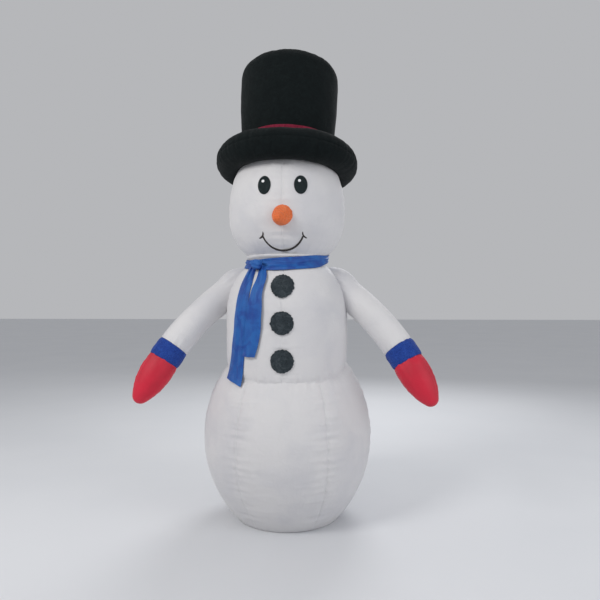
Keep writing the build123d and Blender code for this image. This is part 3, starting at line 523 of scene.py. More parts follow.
def lower_skin(x, y, z):
    radius, direction = hypot(x, y), facing(x, y)
    if radius < BASE_R - 0.001:
        return x, y, z
    out = puckered(x, y, z, direction, radius, GORE_SEAMS, 3)
    out += 0.0018 * ripple(x, y, z, 0.14, 1) + 0.0009 * ripple(x, y, z, 0.045, 2)
    round_torso = atan2(x, TORSO_Y - y)
    to_waist = waist_at(round_torso) - z
    out -= WAIST_PINCH * exp(-abs(to_waist) / 0.020)
    out += 0.0018 * gathers(round_torso * CHEST_R, to_waist, 0.026, 0.05, 5)
    out *= smooth((z - BASE_Z) / 0.05)
    slope = (z - BELLY_Z) / (UPPER_ARC[2] if z > BELLY_Z else LOWER_ARC[2])
    rise = slope * out
    level = 1 + out * cos(asin(max(min(slope, 1), -1))) / radius
    return (x * level, y * level,
            z + rise)


lower_turn = asin((BELLY_Z - BASE_Z) / LOWER_ARC[2])
upper_turn = asin((0.935 - BELLY_Z) / UPPER_ARC[2])
lower_profile = [(BASE_R - 0.004, 0.0006)]
lower_profile += arc_points(LOWER_ARC[0], BELLY_Z, LOWER_ARC[2], -lower_turn, 0, 66)
lower_profile += arc_points(UPPER_ARC[0], BELLY_Z, UPPER_ARC[2], 0, upper_turn, 78)[1:]
lower_body = lathe("lower_body_gores", lower_profile, 480)
trim(lower_body, lambda x, y, z: z > 0.7 and z > waist_at(atan2(x, TORSO_Y - y)) + 0.030)
seam_marks(lower_body, GORE_SEAMS, body_r)
reshape(lower_body, lower_skin)
finished(lower_body, "standing_body", WHITE_CLOTH, "white_polyester",
         *[f"lower_panel_{g}" for g in ("front", "front_left", "front_right",
                                        "back", "back_left", "back_right")])

base = lathe("base_cloth", [(0.0008, 0.0012), (0.06, 0.0009), (0.13, 0.0006), (0.20, 0.0009), (0.25, 0.0006),
                            (BASE_R - 0.002, 0.0008), (BASE_R + 0.0002, 0.0016),
                            (BASE_R - 0.004, 0.0022)], 96)
finished(base, "standing_body", WHITE_CLOTH, "white_polyester", "base_panel")


# ======================= torso =======================
TORSO_SEAMS = (-90, 0, 90)
torso_rows = between(0, 1, 96)
torso = lathe("torso_panels", [(0.3, t) for t in torso_rows], 432)


def torso_skin(x, y, t):
    direction = facing(x, y)
    foot = waist_at(direction) - 0.016
    z = foot + (TORSO_TOP_Z + 0.004 - foot) * t
    radius = torso_r(z)
    out = puckered(x, y, z, direction, radius, TORSO_SEAMS, 13, reach=0.045)
    above = z - foot - 0.016
    out -= 0.009 * exp(-abs(above) / 0.018)
    out += 0.0026 * gathers(direction * CHEST_R, above, 0.026, 0.05, 7)
    out += 0.0016 * ripple(x, y, z, 0.12, 4)
    out -= 0.004 * exp(-(TORSO_TOP_Z - z) / 0.02)
    out += 0.002 * gathers(direction * NECK_R, TORSO_TOP_Z - z, 0.024, 0.06, 8)
    for side in (-1, 1):       # radiating folds round the armhole
        across = hypot(x / 0.3 * radius - side * SHOULDER.x, z - SHOULDER.z) - ARM_R
        if side * x > 0 and across > 0:
            spoke = atan2(z - SHOULDER.z, facing(x, y) - side * pi / 2) * ARM_R
            out += 0.0022 * gathers(spoke, across, 0.026, 0.045, 17 + side)
    radius += out
    return radius * sin(direction), TORSO_Y - radius * cos(direction), z


reshape(torso, torso_skin)
seam_marks(torso, TORSO_SEAMS, torso_r, TORSO_Y)
finished(torso, "standing_body", WHITE_CLOTH, "white_polyester",
         *[f"torso_panel_{p}" for p in ("back", "front_left", "front_right")])

neck = lathe("neck_ring", [(NECK_R - 0.003 + 0.002 * sin(9 * t) + 0.008 * smooth((t - 0.5) / 0.4),
                            TORSO_TOP_Z - 0.006 + 0.056 * t)
                            for t in between(0, 1, 14)], 180)


def neck_skin(x, y, z):
    """Fine upright pleats round the soft ring."""
    pleated = 1 + 0.012 * ripple(x, y, z / 4, 0.02, 3)
    return x * pleated, y * pleated + TORSO_Y, z


reshape(neck, neck_skin)
finished(neck, None, WHITE_CLOTH, "white_polyester", "neck_gusset")
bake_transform(neck)


# ======================= head =======================
jaw_turn = asin((HEAD_LOW_Z - HEAD_FOOT_Z + 0.004) / HEAD_JAW_ARC)
scalp_turn = asin((1.850 - HEAD_HIGH_Z) / HEAD_CROWN_ARC)
head_profile = arc_points(JAW_ARC[0], HEAD_LOW_Z, HEAD_JAW_ARC, -jaw_turn, 0, 40)
head_profile += [(HEAD_R, z) for z in between(HEAD_LOW_Z, HEAD_HIGH_Z, 8)[1:-1]]
head_profile += arc_points(SCALP_ARC[0], HEAD_HIGH_Z, HEAD_CROWN_ARC, 0, scalp_turn, 36)
head = lathe("head_panels", head_profile, 432)


def head_skin(x, y, z):
    radius, direction = hypot(x, y), facing(x, y)
    out = puckered(x, y, z, direction, radius, TORSO_SEAMS, 23, reach=0.05, amount=0.0026)
    out += 0.0016 * ripple(x, y, z, 0.11, 6)
    out += 0.0045 * gathers(direction * HEAD_R, 1.86 - z, 0.040, 0.07, 24) * exp(-(direction / 0.5)**2)
    out += 0.003 * exp(-((z - HEAD_FOOT_Z - 0.002) / 0.007)**2)
    out += 0.0022 * gathers(direction * NECK_R, z - HEAD_FOOT_Z, 0.022, 0.06, 9)
    radius += out
    return radius * sin(direction), TORSO_Y - radius * cos(direction), z


reshape(head, head_skin)
seam_marks(head, TORSO_SEAMS, head_r, TORSO_Y)
finished(head, "head", WHITE_CLOTH, "white_polyester",
         *[f"head_panel_{p}" for p in ("back", "front_left", "front_right")])


# ======================= hat =======================
edge_turn = radians(CROWN_EDGE_TURN)
edge_end_r = CROWN_R - CROWN_EDGE_R + CROWN_EDGE_R * cos(edge_turn)
dome_r = edge_end_r / cos(edge_turn)
edge_z = CROWN_HEIGHT - CROWN_EDGE_R * sin(edge_turn) - dome_r * (1 - sin(edge_turn))
SIDE_ARC = upright_arc(CROWN_R, edge_z, CROWN_FOOT_R, 0)


def on_hat(x, y, z):
    return tuple(hat_frame @ Vector((x, y, z)))


def crown_skin(x, y, z):
    radius, direction = max(hypot(x, y), 0.0001), facing(x, y)
    out = 0.0022 * ripple(x, y, z, 0.12, 31) + 0.0012 * ripple(x, y, z, 0.05, 32)
    out += 0.0020 * gathers(direction * CROWN_R, z - 0.05, 0.030, 0.07, 33)
    top_folds = gathers(direction * CROWN_R, z - edge_z - 0.07, 0.026, 0.03, 34)
    out += 0.0010 * top_folds * smooth((radius - 0.08) / 0.1)
    return on_hat(x * (1 + out / radius), y * (1 + out / radius), z + 0.6 * out * (z > edge_z + 0.05))


side_profile = [(SIDE_ARC[0] + SIDE_ARC[2] * cos(a), edge_z + SIDE_ARC[2] * sin(a))
                for a in between(-asin(edge_z / SIDE_ARC[2]), 0, 64)]
side_profile += arc_points(CROWN_R - CROWN_EDGE_R, edge_z, CROWN_EDGE_R, 0, edge_turn, 18)[1:]
crown_side = lathe("hat_crown_side_plush", side_profile, 288)
reshape(crown_side, crown_skin)
finished(crown_side, "head", HAT_PLUSH, "black_plush", "hat_crown_side")

top_profile = arc_points(0, CROWN_HEIGHT - dome_r, dome_r, edge_turn - 0.01, pi / 2 - 0.003, 22)
crown_top = lathe("hat_crown_top_plush", top_profile, 288)
clear_selection()
bpy.context.view_layer.objects.active = crown_top
bpy.ops.object.mode_set(mode="EDIT")
bpy.ops.mesh.select_all(action="SELECT")
bpy.ops.mesh.remove_doubles(threshold=0.002)
bpy.ops.mesh.normals_make_consistent(inside=False)
bpy.ops.object.mode_set(mode="OBJECT")
reshape(crown_top, crown_skin)
finished(crown_top, "head", HAT_PLUSH, "black_plush", "hat_crown_top")


def brim_half(name, start, end, node):
    tube = [(BRIM_RING_R + BRIM_TUBE_R * cos(radians(a)), BRIM_TUBE_R * sin(radians(a)))
            for a in between(start, end, 44)]
    piece = lathe(name, tube, 384)

    def skin(x, y, z):
        radius, direction = hypot(x, y), facing(x, y)
        around = atan2(z, radius - BRIM_RING_R)
        out = 0.0018 * ripple(x, y, z, 0.09, 41) - 0.0035 * exp(-abs(around) * BRIM_TUBE_R / 0.006)
        out += 0.0024 * gathers(direction * BRIM_RING_R * 1.2, around * BRIM_TUBE_R, 0.021, 0.06, 42)
        reach = BRIM_TUBE_R + out
        if around > 0:          # fuller at the sides on top, and in front underneath
            flat = 0.85 + 0.15 * smooth((abs(direction) - 0.12) / 0.45)
        else:
            flat = 0.87 + 0.18 * max(cos(direction), 0)**2
        radius = BRIM_RING_R + reach * cos(around)
        return on_hat(radius * sin(direction), -radius * cos(direction), flat * reach * sin(around))

    reshape(piece, skin)
    return finished(piece, "head", HAT_PLUSH, "black_plush", node)


brim_half("hat_brim_upper_plush", 0, 180, "hat_brim_upper")
brim_half("hat_brim_lower_plush", -180, 0, "hat_brim_lower")

band_rows = between(BAND_LOW, BAND_HIGH, 18)


def band_bulge(z):
    """How far the plush swells out between the band's two edges."""
    across = 2 * (z - BAND_LOW) / (BAND_HIGH - BAND_LOW) - 1
    return 0.0024 * sqrt(max(1 - across**4, 0))


band = lathe("hat_band_plush", [(arc_r(SIDE_ARC, z) + 0.0012 + band_bulge(z), z) for z in band_rows], 288)
reshape(band, crown_skin)
finished(band, "head", BAND_PLUSH, "dark_red_plush", "hat_band")


# ======================= arms =======================
BEND_R = (SLEEVE_LENGTH + CUFF_LENGTH) / radians(ARM_BEND)
droop, forward = radians(ARM_DROOP), radians(ARM_FORWARD)
arm_up = Vector((sin(droop) * cos(forward), -sin(droop) * sin(forward), cos(droop)))
arm_out = Vector((cos(droop) * cos(forward), -cos(droop) * sin(forward), -sin(droop)))
arm_side = arm_out.cross(arm_up)
WRIST = SLEEVE_LENGTH + CUFF_LENGTH
SHOULDER_RISE = 0.015       # the sleeve stands up where it meets the torso


def on_arm(side, x, y, along):
    """A point beside the arm's centre line, which is straight past the wrist."""
    turn = min(along, WRIST) / BEND_R
    up = arm_up * cos(turn) + arm_out * sin(turn)
    heading = arm_out * cos(turn) - arm_up * sin(turn)
    centre = SHOULDER + (up - arm_up) * BEND_R + heading * max(along - WRIST, 0)
    point = centre + up * x + arm_side * y
    return side * point.x, point.y, point.z


def round_arm(x, y):
    """Distance round the sleeve from its underside seam."""
    return atan2(y, -x) * ARM_R


def arm_seam(piece):
    mark(piece, "seam_close", lambda x, y, z: max(SEAM_REACH - abs(round_arm(x, y)), 0))
    mark(piece, "seam_along", lambda x, y, z: z)


def arm_piece(name, side, rows, steps, fold, seam=True):
    piece = lathe(name, rows, steps)
    if seam:
        arm_seam(piece)

    def skin(x, y, along):
        radius = max(hypot(x, y), 0.0001)
        out = fold(round_arm(x, y), along, side)
        return on_arm(side, x * (1 + out / radius), y * (1 + out / radius), along)

    reshape(piece, skin)
    turn_outwards(piece)
    return piece


def sleeve_fold(round_it, along, side):
    at_root, at_cuff = max(along, 0), SLEEVE_LENGTH - along
    out = 0.0028 * gathers(round_it, at_root, 0.024, 0.05, 51 + side)
    out += 0.0016 * gathers(round_it, at_cuff, 0.020, 0.035, 53 + side)
    out += 0.0030 * exp(-at_root / 0.03) - 0.0030 * exp(-max(at_cuff, 0) / 0.008)
    out += 0.0018 * ripple(round_it, along, 0, 0.09, 55 + side) - 0.0022 * exp(-abs(round_it) / 0.008)
    out += SHOULDER_RISE * exp(-((along + 0.045) / 0.06)**2) * max(-cos(round_it / ARM_R), 0)
    return (out + 0.0014 * gathers(along, round_it, 0.024, 0.03, 57 + side)) * smooth((along + 0.15) / 0.1)


def cuff_fold(round_it, along, side):
    return 0.0016 * ripple(round_it, along, 0, 0.03, 61 + side)


def mitten_fold(round_it, along, side):
    to_seam = min(abs(round_it), abs(pi * ARM_R - abs(round_it)))
    past = along - WRIST + MITTEN_TUCK
    out = 0.0024 * gathers(round_it, past, 0.022, 0.05, 63 + side) - 0.003 * exp(-to_seam / 0.007)
    out += (0.0022 * gathers(past, to_seam, 0.020, 0.035, 65 + side)
            + 0.0016 * ripple(round_it, along, 0, 0.07, 67))
    return out * smooth((MITTEN_LENGTH - past) / 0.05)


mitten_reach = MITTEN_LENGTH + MITTEN_TUCK - MITTEN_TIP_R - MITTEN_BELLY_AT
mitten_arc = (mitten_reach**2 + MITTEN_BELLY_R**2 - MITTEN_TIP_R**2) / (2 * (MITTEN_BELLY_R - MITTEN_TIP_R))
tip_turn = atan2(mitten_reach, mitten_arc - MITTEN_BELLY_R)
mitten_rows = [(MITTEN_BELLY_R - mitten_arc + mitten_arc * cos(a), MITTEN_BELLY_AT + mitten_arc * sin(a))
               for a in between(-asin(MITTEN_BELLY_AT / mitten_arc), tip_turn, 44)]
mitten_rows += [(MITTEN_TIP_R * cos(a), MITTEN_LENGTH + MITTEN_TUCK - MITTEN_TIP_R + MITTEN_TIP_R * sin(a))
                for a in between(tip_turn, pi / 2, 12)[1:-1]] + [(0.0006, MITTEN_LENGTH + MITTEN_TUCK)]
mitten_rows = [(r, WRIST - MITTEN_TUCK + z) for r, z in mitten_rows]
cuff_rows = [(0.0735, SLEEVE_LENGTH + 0.004)]
cuff_rows += [(0.0762 + 0.0052 * (1 - abs(2 * t - 1)**5), SLEEVE_LENGTH - 0.001 + (CUFF_LENGTH + 0.002) * t)
              for t in between(0, 1, 26)]
cuff_rows += [(0.0735, WRIST - 0.004)]

# the shoulder closes in a rounded end inside the torso
shoulder_rows = [(0.002, -0.150), (0.030, -0.149), (0.048, -0.145), (0.062, -0.137), (0.071, -0.125),
                 (0.077, -0.110), (0.080, -0.092), (0.080, -0.070), (ARM_R, -0.050)]
sleeve_rows = shoulder_rows + [(ARM_R, s) for s in between(-0.050, SLEEVE_LENGTH + 0.002, 84)[1:]]

for side, which in ((1, "left"), (-1, "right")):
    body = f"arm_{which}"
    sleeve = arm_piece(f"sleeve_{which}_cloth", side, sleeve_rows, 168, sleeve_fold)
    finished(sleeve, None, WHITE_CLOTH, "white_polyester", f"sleeve_{which}", f"shoulder_gusset_{which}")
    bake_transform(sleeve)
    cuff = arm_piece(f"cuff_{which}_plush", side, cuff_rows, 144, cuff_fold, seam=False)
    finished(cuff, body, CUFF_PLUSH, "blue_plush", f"cuff_{which}")
    mitten = arm_piece(f"mitten_{which}_cloth", side, mitten_rows, 144, mitten_fold)
    finished(mitten, body, RED_CLOTH, "red_polyester", f"mitten_{which}")


# ======================= face and buttons =======================
def on_front(radius_of, x, z, off):
    """A point on the front of the torso or head, this far off its skin."""
    return x, TORSO_Y - sqrt((radius_of(z) + off)**2 - x * x), z


EYE_X, EYE_Z, EYE_HALF = 0.088, 1.695, (0.0315, 0.0455)
GLINT_R, GLINT_AT = 0.007, (-0.006, 0.019)
MOUTH_HALF_SPAN, MOUTH_Z, MOUTH_SAG, MOUTH_WIDTH, TICK_WIDTH = 0.098, 1.453, 0.068, 0.009, 0.0085
BUTTON_R, BUTTON_HEIGHTS = 0.056, (1.210, 1.033, 0.852)


def round_patch(name, radius_of, x, z, half, edge, crown, off, scallop=0.0, steps=96, seed=71):
    """A round or oval patch sewn to the front: a rolled border and a low crowned middle."""
    rows = [(1.0, -0.5), (1.012, 0.1), (1.0, 0.62), (0.975, 0.95), (0.945, 1.0), (0.91, 0.86), (0.885, 0.72)]
    rows += [(0.86 * cos(radians(a)), 0.72 + (crown / edge - 0.72) * sin(radians(a)))
             for a in (8, 20, 34, 48, 62, 76, 86, 89.6)]
    piece = lathe(name, rows, steps)

    def lay(u, v, height):
        turn = atan2(v, u)
        rim = hypot(u, v)
        wave = 1 + scallop * rim**3 * noise.noise(Vector((cos(turn) * 6.5, sin(turn) * 6.5, seed)))
        lift = max(height, -0.4) * edge + 0.0006 * ripple(u, v, 0, 0.25, seed)
        return on_front(radius_of, x + u * wave * half[0], z + v * wave * half[1], off + lift)

    reshape(piece, lay)
    turn_outwards(piece)
    return piece


def joined(name, *pieces):
    clear_selection()
    for piece in pieces:
        piece.select_set(True)
    bpy.context.view_layer.objects.active = pieces[0]
    bpy.ops.object.join()
    pieces[0].name = pieces[0].data.name = name
    return pieces[0]


eyes = joined("eye_patches", *[round_patch(f"eye_{n}", head_r, x, EYE_Z, EYE_HALF, 0.0028, 0.0034, 0.0012)
                               for n, x in enumerate((EYE_X, -EYE_X))])
finished(eyes, "head", EYE_CLOTH, "charcoal_patch", "eyes")
glints = joined("eye_glint_patches",
                *[round_patch(f"glint_{n}", head_r, x + GLINT_AT[0], EYE_Z + GLINT_AT[1],
                              (GLINT_R, GLINT_R), 0.0010, 0.0014, 0.0046, steps=40)
                  for n, x in enumerate((EYE_X, -EYE_X))])
finished(glints, "head", GLINT_CLOTH, "white_patch", "eye_glints")
buttons = joined("button_patches",
                 *[round_patch(f"button_{n}", torso_r, 0, z, (BUTTON_R, BUTTON_R),
                               0.0050, 0.0085, 0.0012, scallop=0.075, steps=160, seed=80 + n)
                   for n, z in enumerate(BUTTON_HEIGHTS)])
finished(buttons, "standing_body", BUTTON_PLUSH, "charcoal_patch", "buttons")

mouth_r = (MOUTH_HALF_SPAN**2 + MOUTH_SAG**2) / (2 * MOUTH_SAG)
mouth_turn = asin(MOUTH_HALF_SPAN / mouth_r)
SMILE = [(mouth_r * sin(a), MOUTH_Z - MOUTH_SAG + mouth_r * (1 - cos(a)))
         for a in between(-mouth_turn, mouth_turn, 65)]


def tick_line(side):
    """The short curved bar of stitching across a corner of the mouth."""
    bar = [(0.0195, -0.0105), (0.0085, -0.0055), (0.0005, 0.0020), (-0.0015, 0.0110), (-0.0010, 0.0205)]
    points = [smooth_line(bar, t) for t in between(0, 1, 25)]
    return [(side * (MOUTH_HALF_SPAN + x), MOUTH_Z + z) for x, z in points]


def satin_line(name, line, width, point=0.6):
    """A raised satin-stitched line that follows points on the face and narrows at its ends."""
    piece = grid(name, len(line) - 1, 8)
    count = len(line) - 1

    def lay(t, _, across):
        place = t * count
        n = min(int(place), count - 1)
        share = place - n
        (x0, z0), (x1, z1) = line[n], line[n + 1]
        length = hypot(x1 - x0, z1 - z0)
        side = across - 0.5
        end = min(t, 1 - t) * count * length
        narrowed = width * sqrt(smooth(end / (point * width) + 0.12))
        off = side * narrowed
        x = x0 + (x1 - x0) * share - (z1 - z0) / length * off
        z = z0 + (z1 - z0) * share + (x1 - x0) / length * off
        lift = 0.0024 * sqrt(max(1 - (2 * side)**2, 0)) * smooth(end / (0.5 * width))
        lift += 0.0003 * sin(place * 2.4)
        return on_front(head_r, x, z, 0.0008 + lift)

    reshape(piece, lay)
    with_modifier(piece, "SOLIDIFY", thickness=0.0012, offset=-1)
    turn_outwards(piece)
    return piece


mouth = joined("mouth_stitching", satin_line("smile", SMILE, MOUTH_WIDTH),
               satin_line("tick_right", tick_line(-1), TICK_WIDTH, 2.0),
               satin_line("tick_left", tick_line(1), TICK_WIDTH, 2.0))
finished(mouth, "head", MOUTH_THREAD, "dark_stitching", "mouth")

NOSE_Z, NOSE_R, NOSE_TIP_R, NOSE_LENGTH, NOSE_DROOP, NOSE_TURN = 1.549, 0.052, 0.020, 0.118, 16, 10
nose_frame = (Matrix.Translation((0, TORSO_Y - HEAD_R + NOSE_TIP_R, NOSE_Z))
              @ Matrix.Rotation(radians(-NOSE_TURN), 4, "Z")
              @ Matrix.Rotation(radians(90 + NOSE_DROOP), 4, "X"))
nose_cone = asin((NOSE_R - NOSE_TIP_R) / (NOSE_LENGTH - NOSE_TIP_R))
nose_rows = arc_points(NOSE_R - NOSE_TIP_R, 0, NOSE_TIP_R, -1.0, nose_cone, 12)
nose_side_end = (NOSE_TIP_R * cos(nose_cone), NOSE_LENGTH - NOSE_TIP_R + NOSE_TIP_R * sin(nose_cone))
nose_rows += [(nose_rows[-1][0] + (nose_side_end[0] - nose_rows[11][0]) * t,
               nose_rows[11][1] + (nose_side_end[1] - nose_rows[11][1]) * t)
              for t in between(0, 1, 22)[1:]]
nose_rows += arc_points(0, NOSE_LENGTH - NOSE_TIP_R, NOSE_TIP_R, nose_cone, pi / 2 - 0.02, 10)[1:]
nose = lathe("nose_stuffed_carrot", nose_rows + [(0.0003, NOSE_LENGTH)], 120)


def nose_skin(x, y, z):
    radius, direction = max(hypot(x, y), 0.0001), facing(x, y)
    rings = sin(2 * pi * z / 0.026 + 1.2 * ripple(x, y, z, 0.03, 91))
    out = 0.0016 * rings * smooth(z / 0.02) * smooth((NOSE_LENGTH - z) / 0.03)
    from_seam = abs(abs(direction) - pi) * radius
    out += 0.0015 * gathers(direction * NOSE_R, z, 0.012, 0.022, 92) - 0.0016 * exp(-from_seam / 0.004)
    return tuple(nose_frame @ Vector((x * (1 + out / radius), y * (1 + out / radius), z)))


reshape(nose, nose_skin)
finished(nose, "head", NOSE_PLUSH, "orange_stuffed", "nose")


# ======================= scarf =======================
LOOP_Z, LOOP_WIDTH, LOOP_TILT = 1.347, 0.059, 7
KNOT_AZIMUTH, KNOT_SIZE = 31, (0.056, 0.042, 0.050)
LONG_TAIL_EDGES = ([(-0.176, 1.310), (-0.216, 1.210), (-0.244, 1.060), (-0.256, 0.930), (-0.290, 0.752)],
                   [(-0.138, 1.310), (-0.150, 1.235), (-0.166, 1.150), (-0.168, 1.040), (-0.184, 0.900),
                    (-0.206, 0.722)])
SHORT_TAIL_EDGES = ([(-0.122, 1.310), (-0.130, 1.245), (-0.154, 1.180), (-0.176, 1.060), (-0.186, 0.960),
                     (-0.196, 0.870)],
                    [(-0.092, 1.310), (-0.078, 1.262), (-0.096, 1.180), (-0.098, 1.060), (-0.108, 0.960),
                     (-0.132, 0.868)])
tilt = tan(radians(LOOP_TILT))
knot_low, knot_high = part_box("scarf_knot")
knot_centre = (knot_low + knot_high) / 2

loop = lathe("scarf_loop_cloth", [(0.24, t) for t in between(-1, 1, 20)], 320)


def loop_skin(x, y, t):
    """The band is widest over the chest, lowest at the knot, and rolls narrower round the sides."""
    direction = facing(x, y)
    reach = NECK_R + 0.02
    middle = LOOP_Z - tilt * reach * (0.75 * cos(direction + radians(KNOT_AZIMUTH)) + 0.25 * cos(direction))
    from_knot = (direction + radians(KNOT_AZIMUTH) + pi) % (2 * pi) - pi
    broad = 1.06 - 0.12 * exp(-(from_knot / 0.22)**2) - 0.36 * smooth((abs(direction - 0.15) - 0.55) / 0.75)
    half = LOOP_WIDTH / 2 * broad
    middle = min(middle, HEAD_FOOT_Z + 0.029 - half)
    z = middle + t * half
    fold = 0.0036 * sin(7.5 * t + 2.2 * noise.noise(Vector((2.4 * sin(direction), 2.4 * cos(direction), 3))))
    fold *= 0.6 + 0.6 * exp(-abs(from_knot) / 0.5)
    radius = max(neck_r(z), NECK_R) + 0.0080 + 0.0050 * (1 - t * t) + fold * (1 - t**4)
    radius += 0.0016 * ripple(sin(direction), cos(direction), t / 6, 0.14, 5)
    return radius * sin(direction), TORSO_Y - radius * cos(direction), z


reshape(loop, loop_skin)
with_modifier(loop, "SOLIDIFY", thickness=0.0020, offset=-1)
finished(loop, None, SCARF_CLOTH, "blue_scarf", "scarf_loop")
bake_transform(loop)

knot = lathe("scarf_knot_cloth", [(0.001 + 0.999 * sin(a), -cos(a)) for a in between(0.02, pi - 0.02, 44)],
             80)


def knot_skin(x, y, z):
    power = 0.72                # squarer than a ball
    u, v, w = [abs(c)**power * (1 if c > 0 else -1) for c in (x, y, z)]
    wander = 0.8 * noise.noise(Vector((2 * x, 2 * y, 2 * z)))
    lumps = 0.05 * noise.noise(Vector((3 * x, 3 * y, 3 * z + 4)))
    wrap = 0.055 * sin(9 * w + 2.6 * u + wander) + lumps
    crease = -0.10 * exp(-abs(u + 0.35 * w) / 0.09) * (1 if y < 0 else 0)
    grow = 1 + wrap + crease
    local = Vector((u * KNOT_SIZE[0] / 2 * grow * (1 + 0.16 * w), v * KNOT_SIZE[1] / 2 * grow,
                    w * KNOT_SIZE[2] / 2 * grow))
    turned = Matrix.Rotation(radians(-KNOT_AZIMUTH), 4, "Z") @ local
    return tuple(knot_centre + turned)


reshape(knot, knot_skin)
finished(knot, "standing_body", SCARF_CLOTH, "blue_scarf", "scarf_knot")


def front_y(x, z, off):
    """How far forward the cloth lies over the torso and the lower body below it."""
    upper = TORSO_Y - sqrt(max((torso_r(z) + off)**2 - x * x, 0))
    lower = -sqrt(max((body_r(z) + off)**2 - x * x, 0)) if z < WAIST_Z else 0
    gap = 0.03
    return min(upper, lower) - gap / 4 * max(1 - abs(upper - lower) / gap, 0)**2


def tail(name, edges, off, painted_fold_shade, seed, hem):
    piece = grid(name, 30, 150)
    left, right = edges

    def lay(u, _, v):
        (x0, z0), (x1, z1) = smooth_line(left, 1 - v), smooth_line(right, 1 - v)
        down = 1 - v
        x, z = x0 + (x1 - x0) * u, z0 + (z1 - z0) * u
        x += 0.004 * ripple(0, 0, z, 0.08, seed) * smooth(down / 0.2) * (2 * u - 1)
        tight = exp(-down / 0.22)
        wave = cos(2 * pi * painted_fold_shade * u + seed + 1.1 * noise.noise(Vector((u, 3 * down, seed))))
        lift = off + (0.0022 + 0.0052 * tight) * (1 + wave) * (0.3 + 0.7 * sin(pi * u))
        lift += 0.0030 * (1 + ripple(2 * u, 0, 5 * down, 0.8, seed + 1)) * smooth(down / 0.15)
        lift += 0.0085 * smooth((down - 0.90) / 0.10) * hem * (1 - u) + 0.012 * exp(-down / 0.035)
        return x, front_y(x, z, lift), z

    reshape(piece, lay)
    with_modifier(piece, "SOLIDIFY", thickness=0.0018, offset=-1)
    with_modifier(piece, "BEVEL", width=0.0005, segments=2)
    turn_outwards(piece)
    finished(piece, None, SCARF_CLOTH, "blue_scarf", f"scarf_{name.split('_cloth')[0]}")
    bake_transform(piece)
    return piece


long_tail = tail("tail_long_cloth", LONG_TAIL_EDGES, 0.0035, 2.0, 3, 0.6)
short_tail = tail("tail_short_cloth", SHORT_TAIL_EDGES, 0.0095, 1.5, 8, 1.0)


# ======================= fan sleeve, straps, tabs and tapes =======================
def along_y(radius, direction, y, z=FAN_Z):
    return radius * sin(direction), y, z - radius * cos(direction)


collar = lathe("fan_collar_cloth", [(1, t) for t in between(0, 1, 34)], 144)


def collar_skin(x, y, t):
    direction = facing(x, y)
    out_x, up = sin(direction), FAN_Z - (DUCT_R + 0.001) * cos(direction)
    from_body = sqrt(max((body_r(max(up, 0.004)) - 0.006)**2 - ((DUCT_R + 0.001) * out_x)**2, 0))
    place = from_body + (FAN_Y + COLLAR_END - from_body) * t
    clamp = exp(-((FAN_Y + 0.007 - place) / 0.008)**2)
    bunch = gathers(direction * DUCT_R, FAN_Y + 0.007 - place, 0.012, 0.05, 95) * 0.0032 * (1 - clamp)
    radius = DUCT_R + 0.0015 + 0.0045 * (1 - clamp) * smooth((1 - t) / 0.3) + bunch * (t < 0.97)
    return along_y(max(radius, DUCT_R + 0.0009), direction, place)


reshape(collar, collar_skin)
turn_outwards(collar)
finished(collar, "standing_body", WHITE_CLOTH, "white_polyester", "fan_collar")

TAB_WIDTH, TAB_LENGTH, TAB_THICK, GROMMET_R = 0.034, 0.062, 0.0016, 0.0072
tabs = []
for number, azimuth in enumerate((118, 156, 204, 242)):
    turn = Matrix.Rotation(radians(azimuth - 90), 4, "Z")
    start = BASE_R + 0.00125
    piece = grid(f"tab_{number}", 44, 26)
    hole = start + TAB_LENGTH - TAB_WIDTH / 2
    reshape(piece, lambda u, _, v: (start + u * TAB_LENGTH,
                                    (v - 0.5) * TAB_WIDTH * (1 - 0.12 * smooth((u - 0.86) / 0.14)), 0.0))

    def clear_of_hole(x, y, z):
        reach = hypot(x - hole, y)
        if reach < 2 * GROMMET_R:
            grow = (GROMMET_R + (2 * GROMMET_R - GROMMET_R) * reach / (2 * GROMMET_R)) / max(reach, 0.0002)
            x, y = hole + (x - hole) * grow, y * grow
        return x, y, z

    trim(piece, lambda x, y, z: hypot(x - hole, y) < 0.0006)
    reshape(piece, clear_of_hole)
    reshape(piece, lambda x, y, z: tuple(
        turn @ Vector((x, y, 0.0003 + 0.00010 * sin(900 * x) * (abs(y) > 0.012)))))
    with_modifier(piece, "SOLIDIFY", thickness=TAB_THICK - 0.0006, offset=1)
    turn_outwards(piece)
    tabs.append(piece)
finished(joined("stake_tab_webbing", *tabs), "standing_body", BLACK_WEBBING, "black_webbing", "stake_tabs",
         angle=40)

RING_Z, RING_OFF, RING_WIRE_R = 0.428, 0.006, 0.0016
straps = []
for number, azimuth in enumerate((128, -128)):
    turn = Matrix.Rotation(radians(azimuth - 90), 4, "Z")
    hold = RING_WIRE_R + 0.0011
    pin = body_r(RING_Z) + RING_OFF
    rows_up, wrap_part = 60, 0.42

    def wrap(u, _, v):
        """Round the ring's bar and up against the cloth."""
        across = (v - 0.5) * 0.020
        if u < wrap_part:
            a = 2 * pi * u / wrap_part + pi
            x, z = pin + hold * cos(a), RING_Z - hold * sin(a)
        else:
            rise = (u - wrap_part) / (1 - wrap_part) * 0.040
            x = pin - hold + (body_r(RING_Z + rise) + 0.0022 - pin + hold) * smooth(rise / 0.022)
            z = RING_Z + rise
        return tuple(turn @ Vector((x, across, z + 0.0002 * cos(5 * pi * v))))

    piece = grid(f"strap_{number}", rows_up, 8)
    reshape(piece, wrap)
    with_modifier(piece, "SOLIDIFY", thickness=0.0013, offset=0)
    turn_outwards(piece)
    straps.append(piece)
finished(joined("tether_strap_webbing", *straps), "standing_body", WHITE_TAPE, "white_polyester",
         "tether_straps", angle=50)

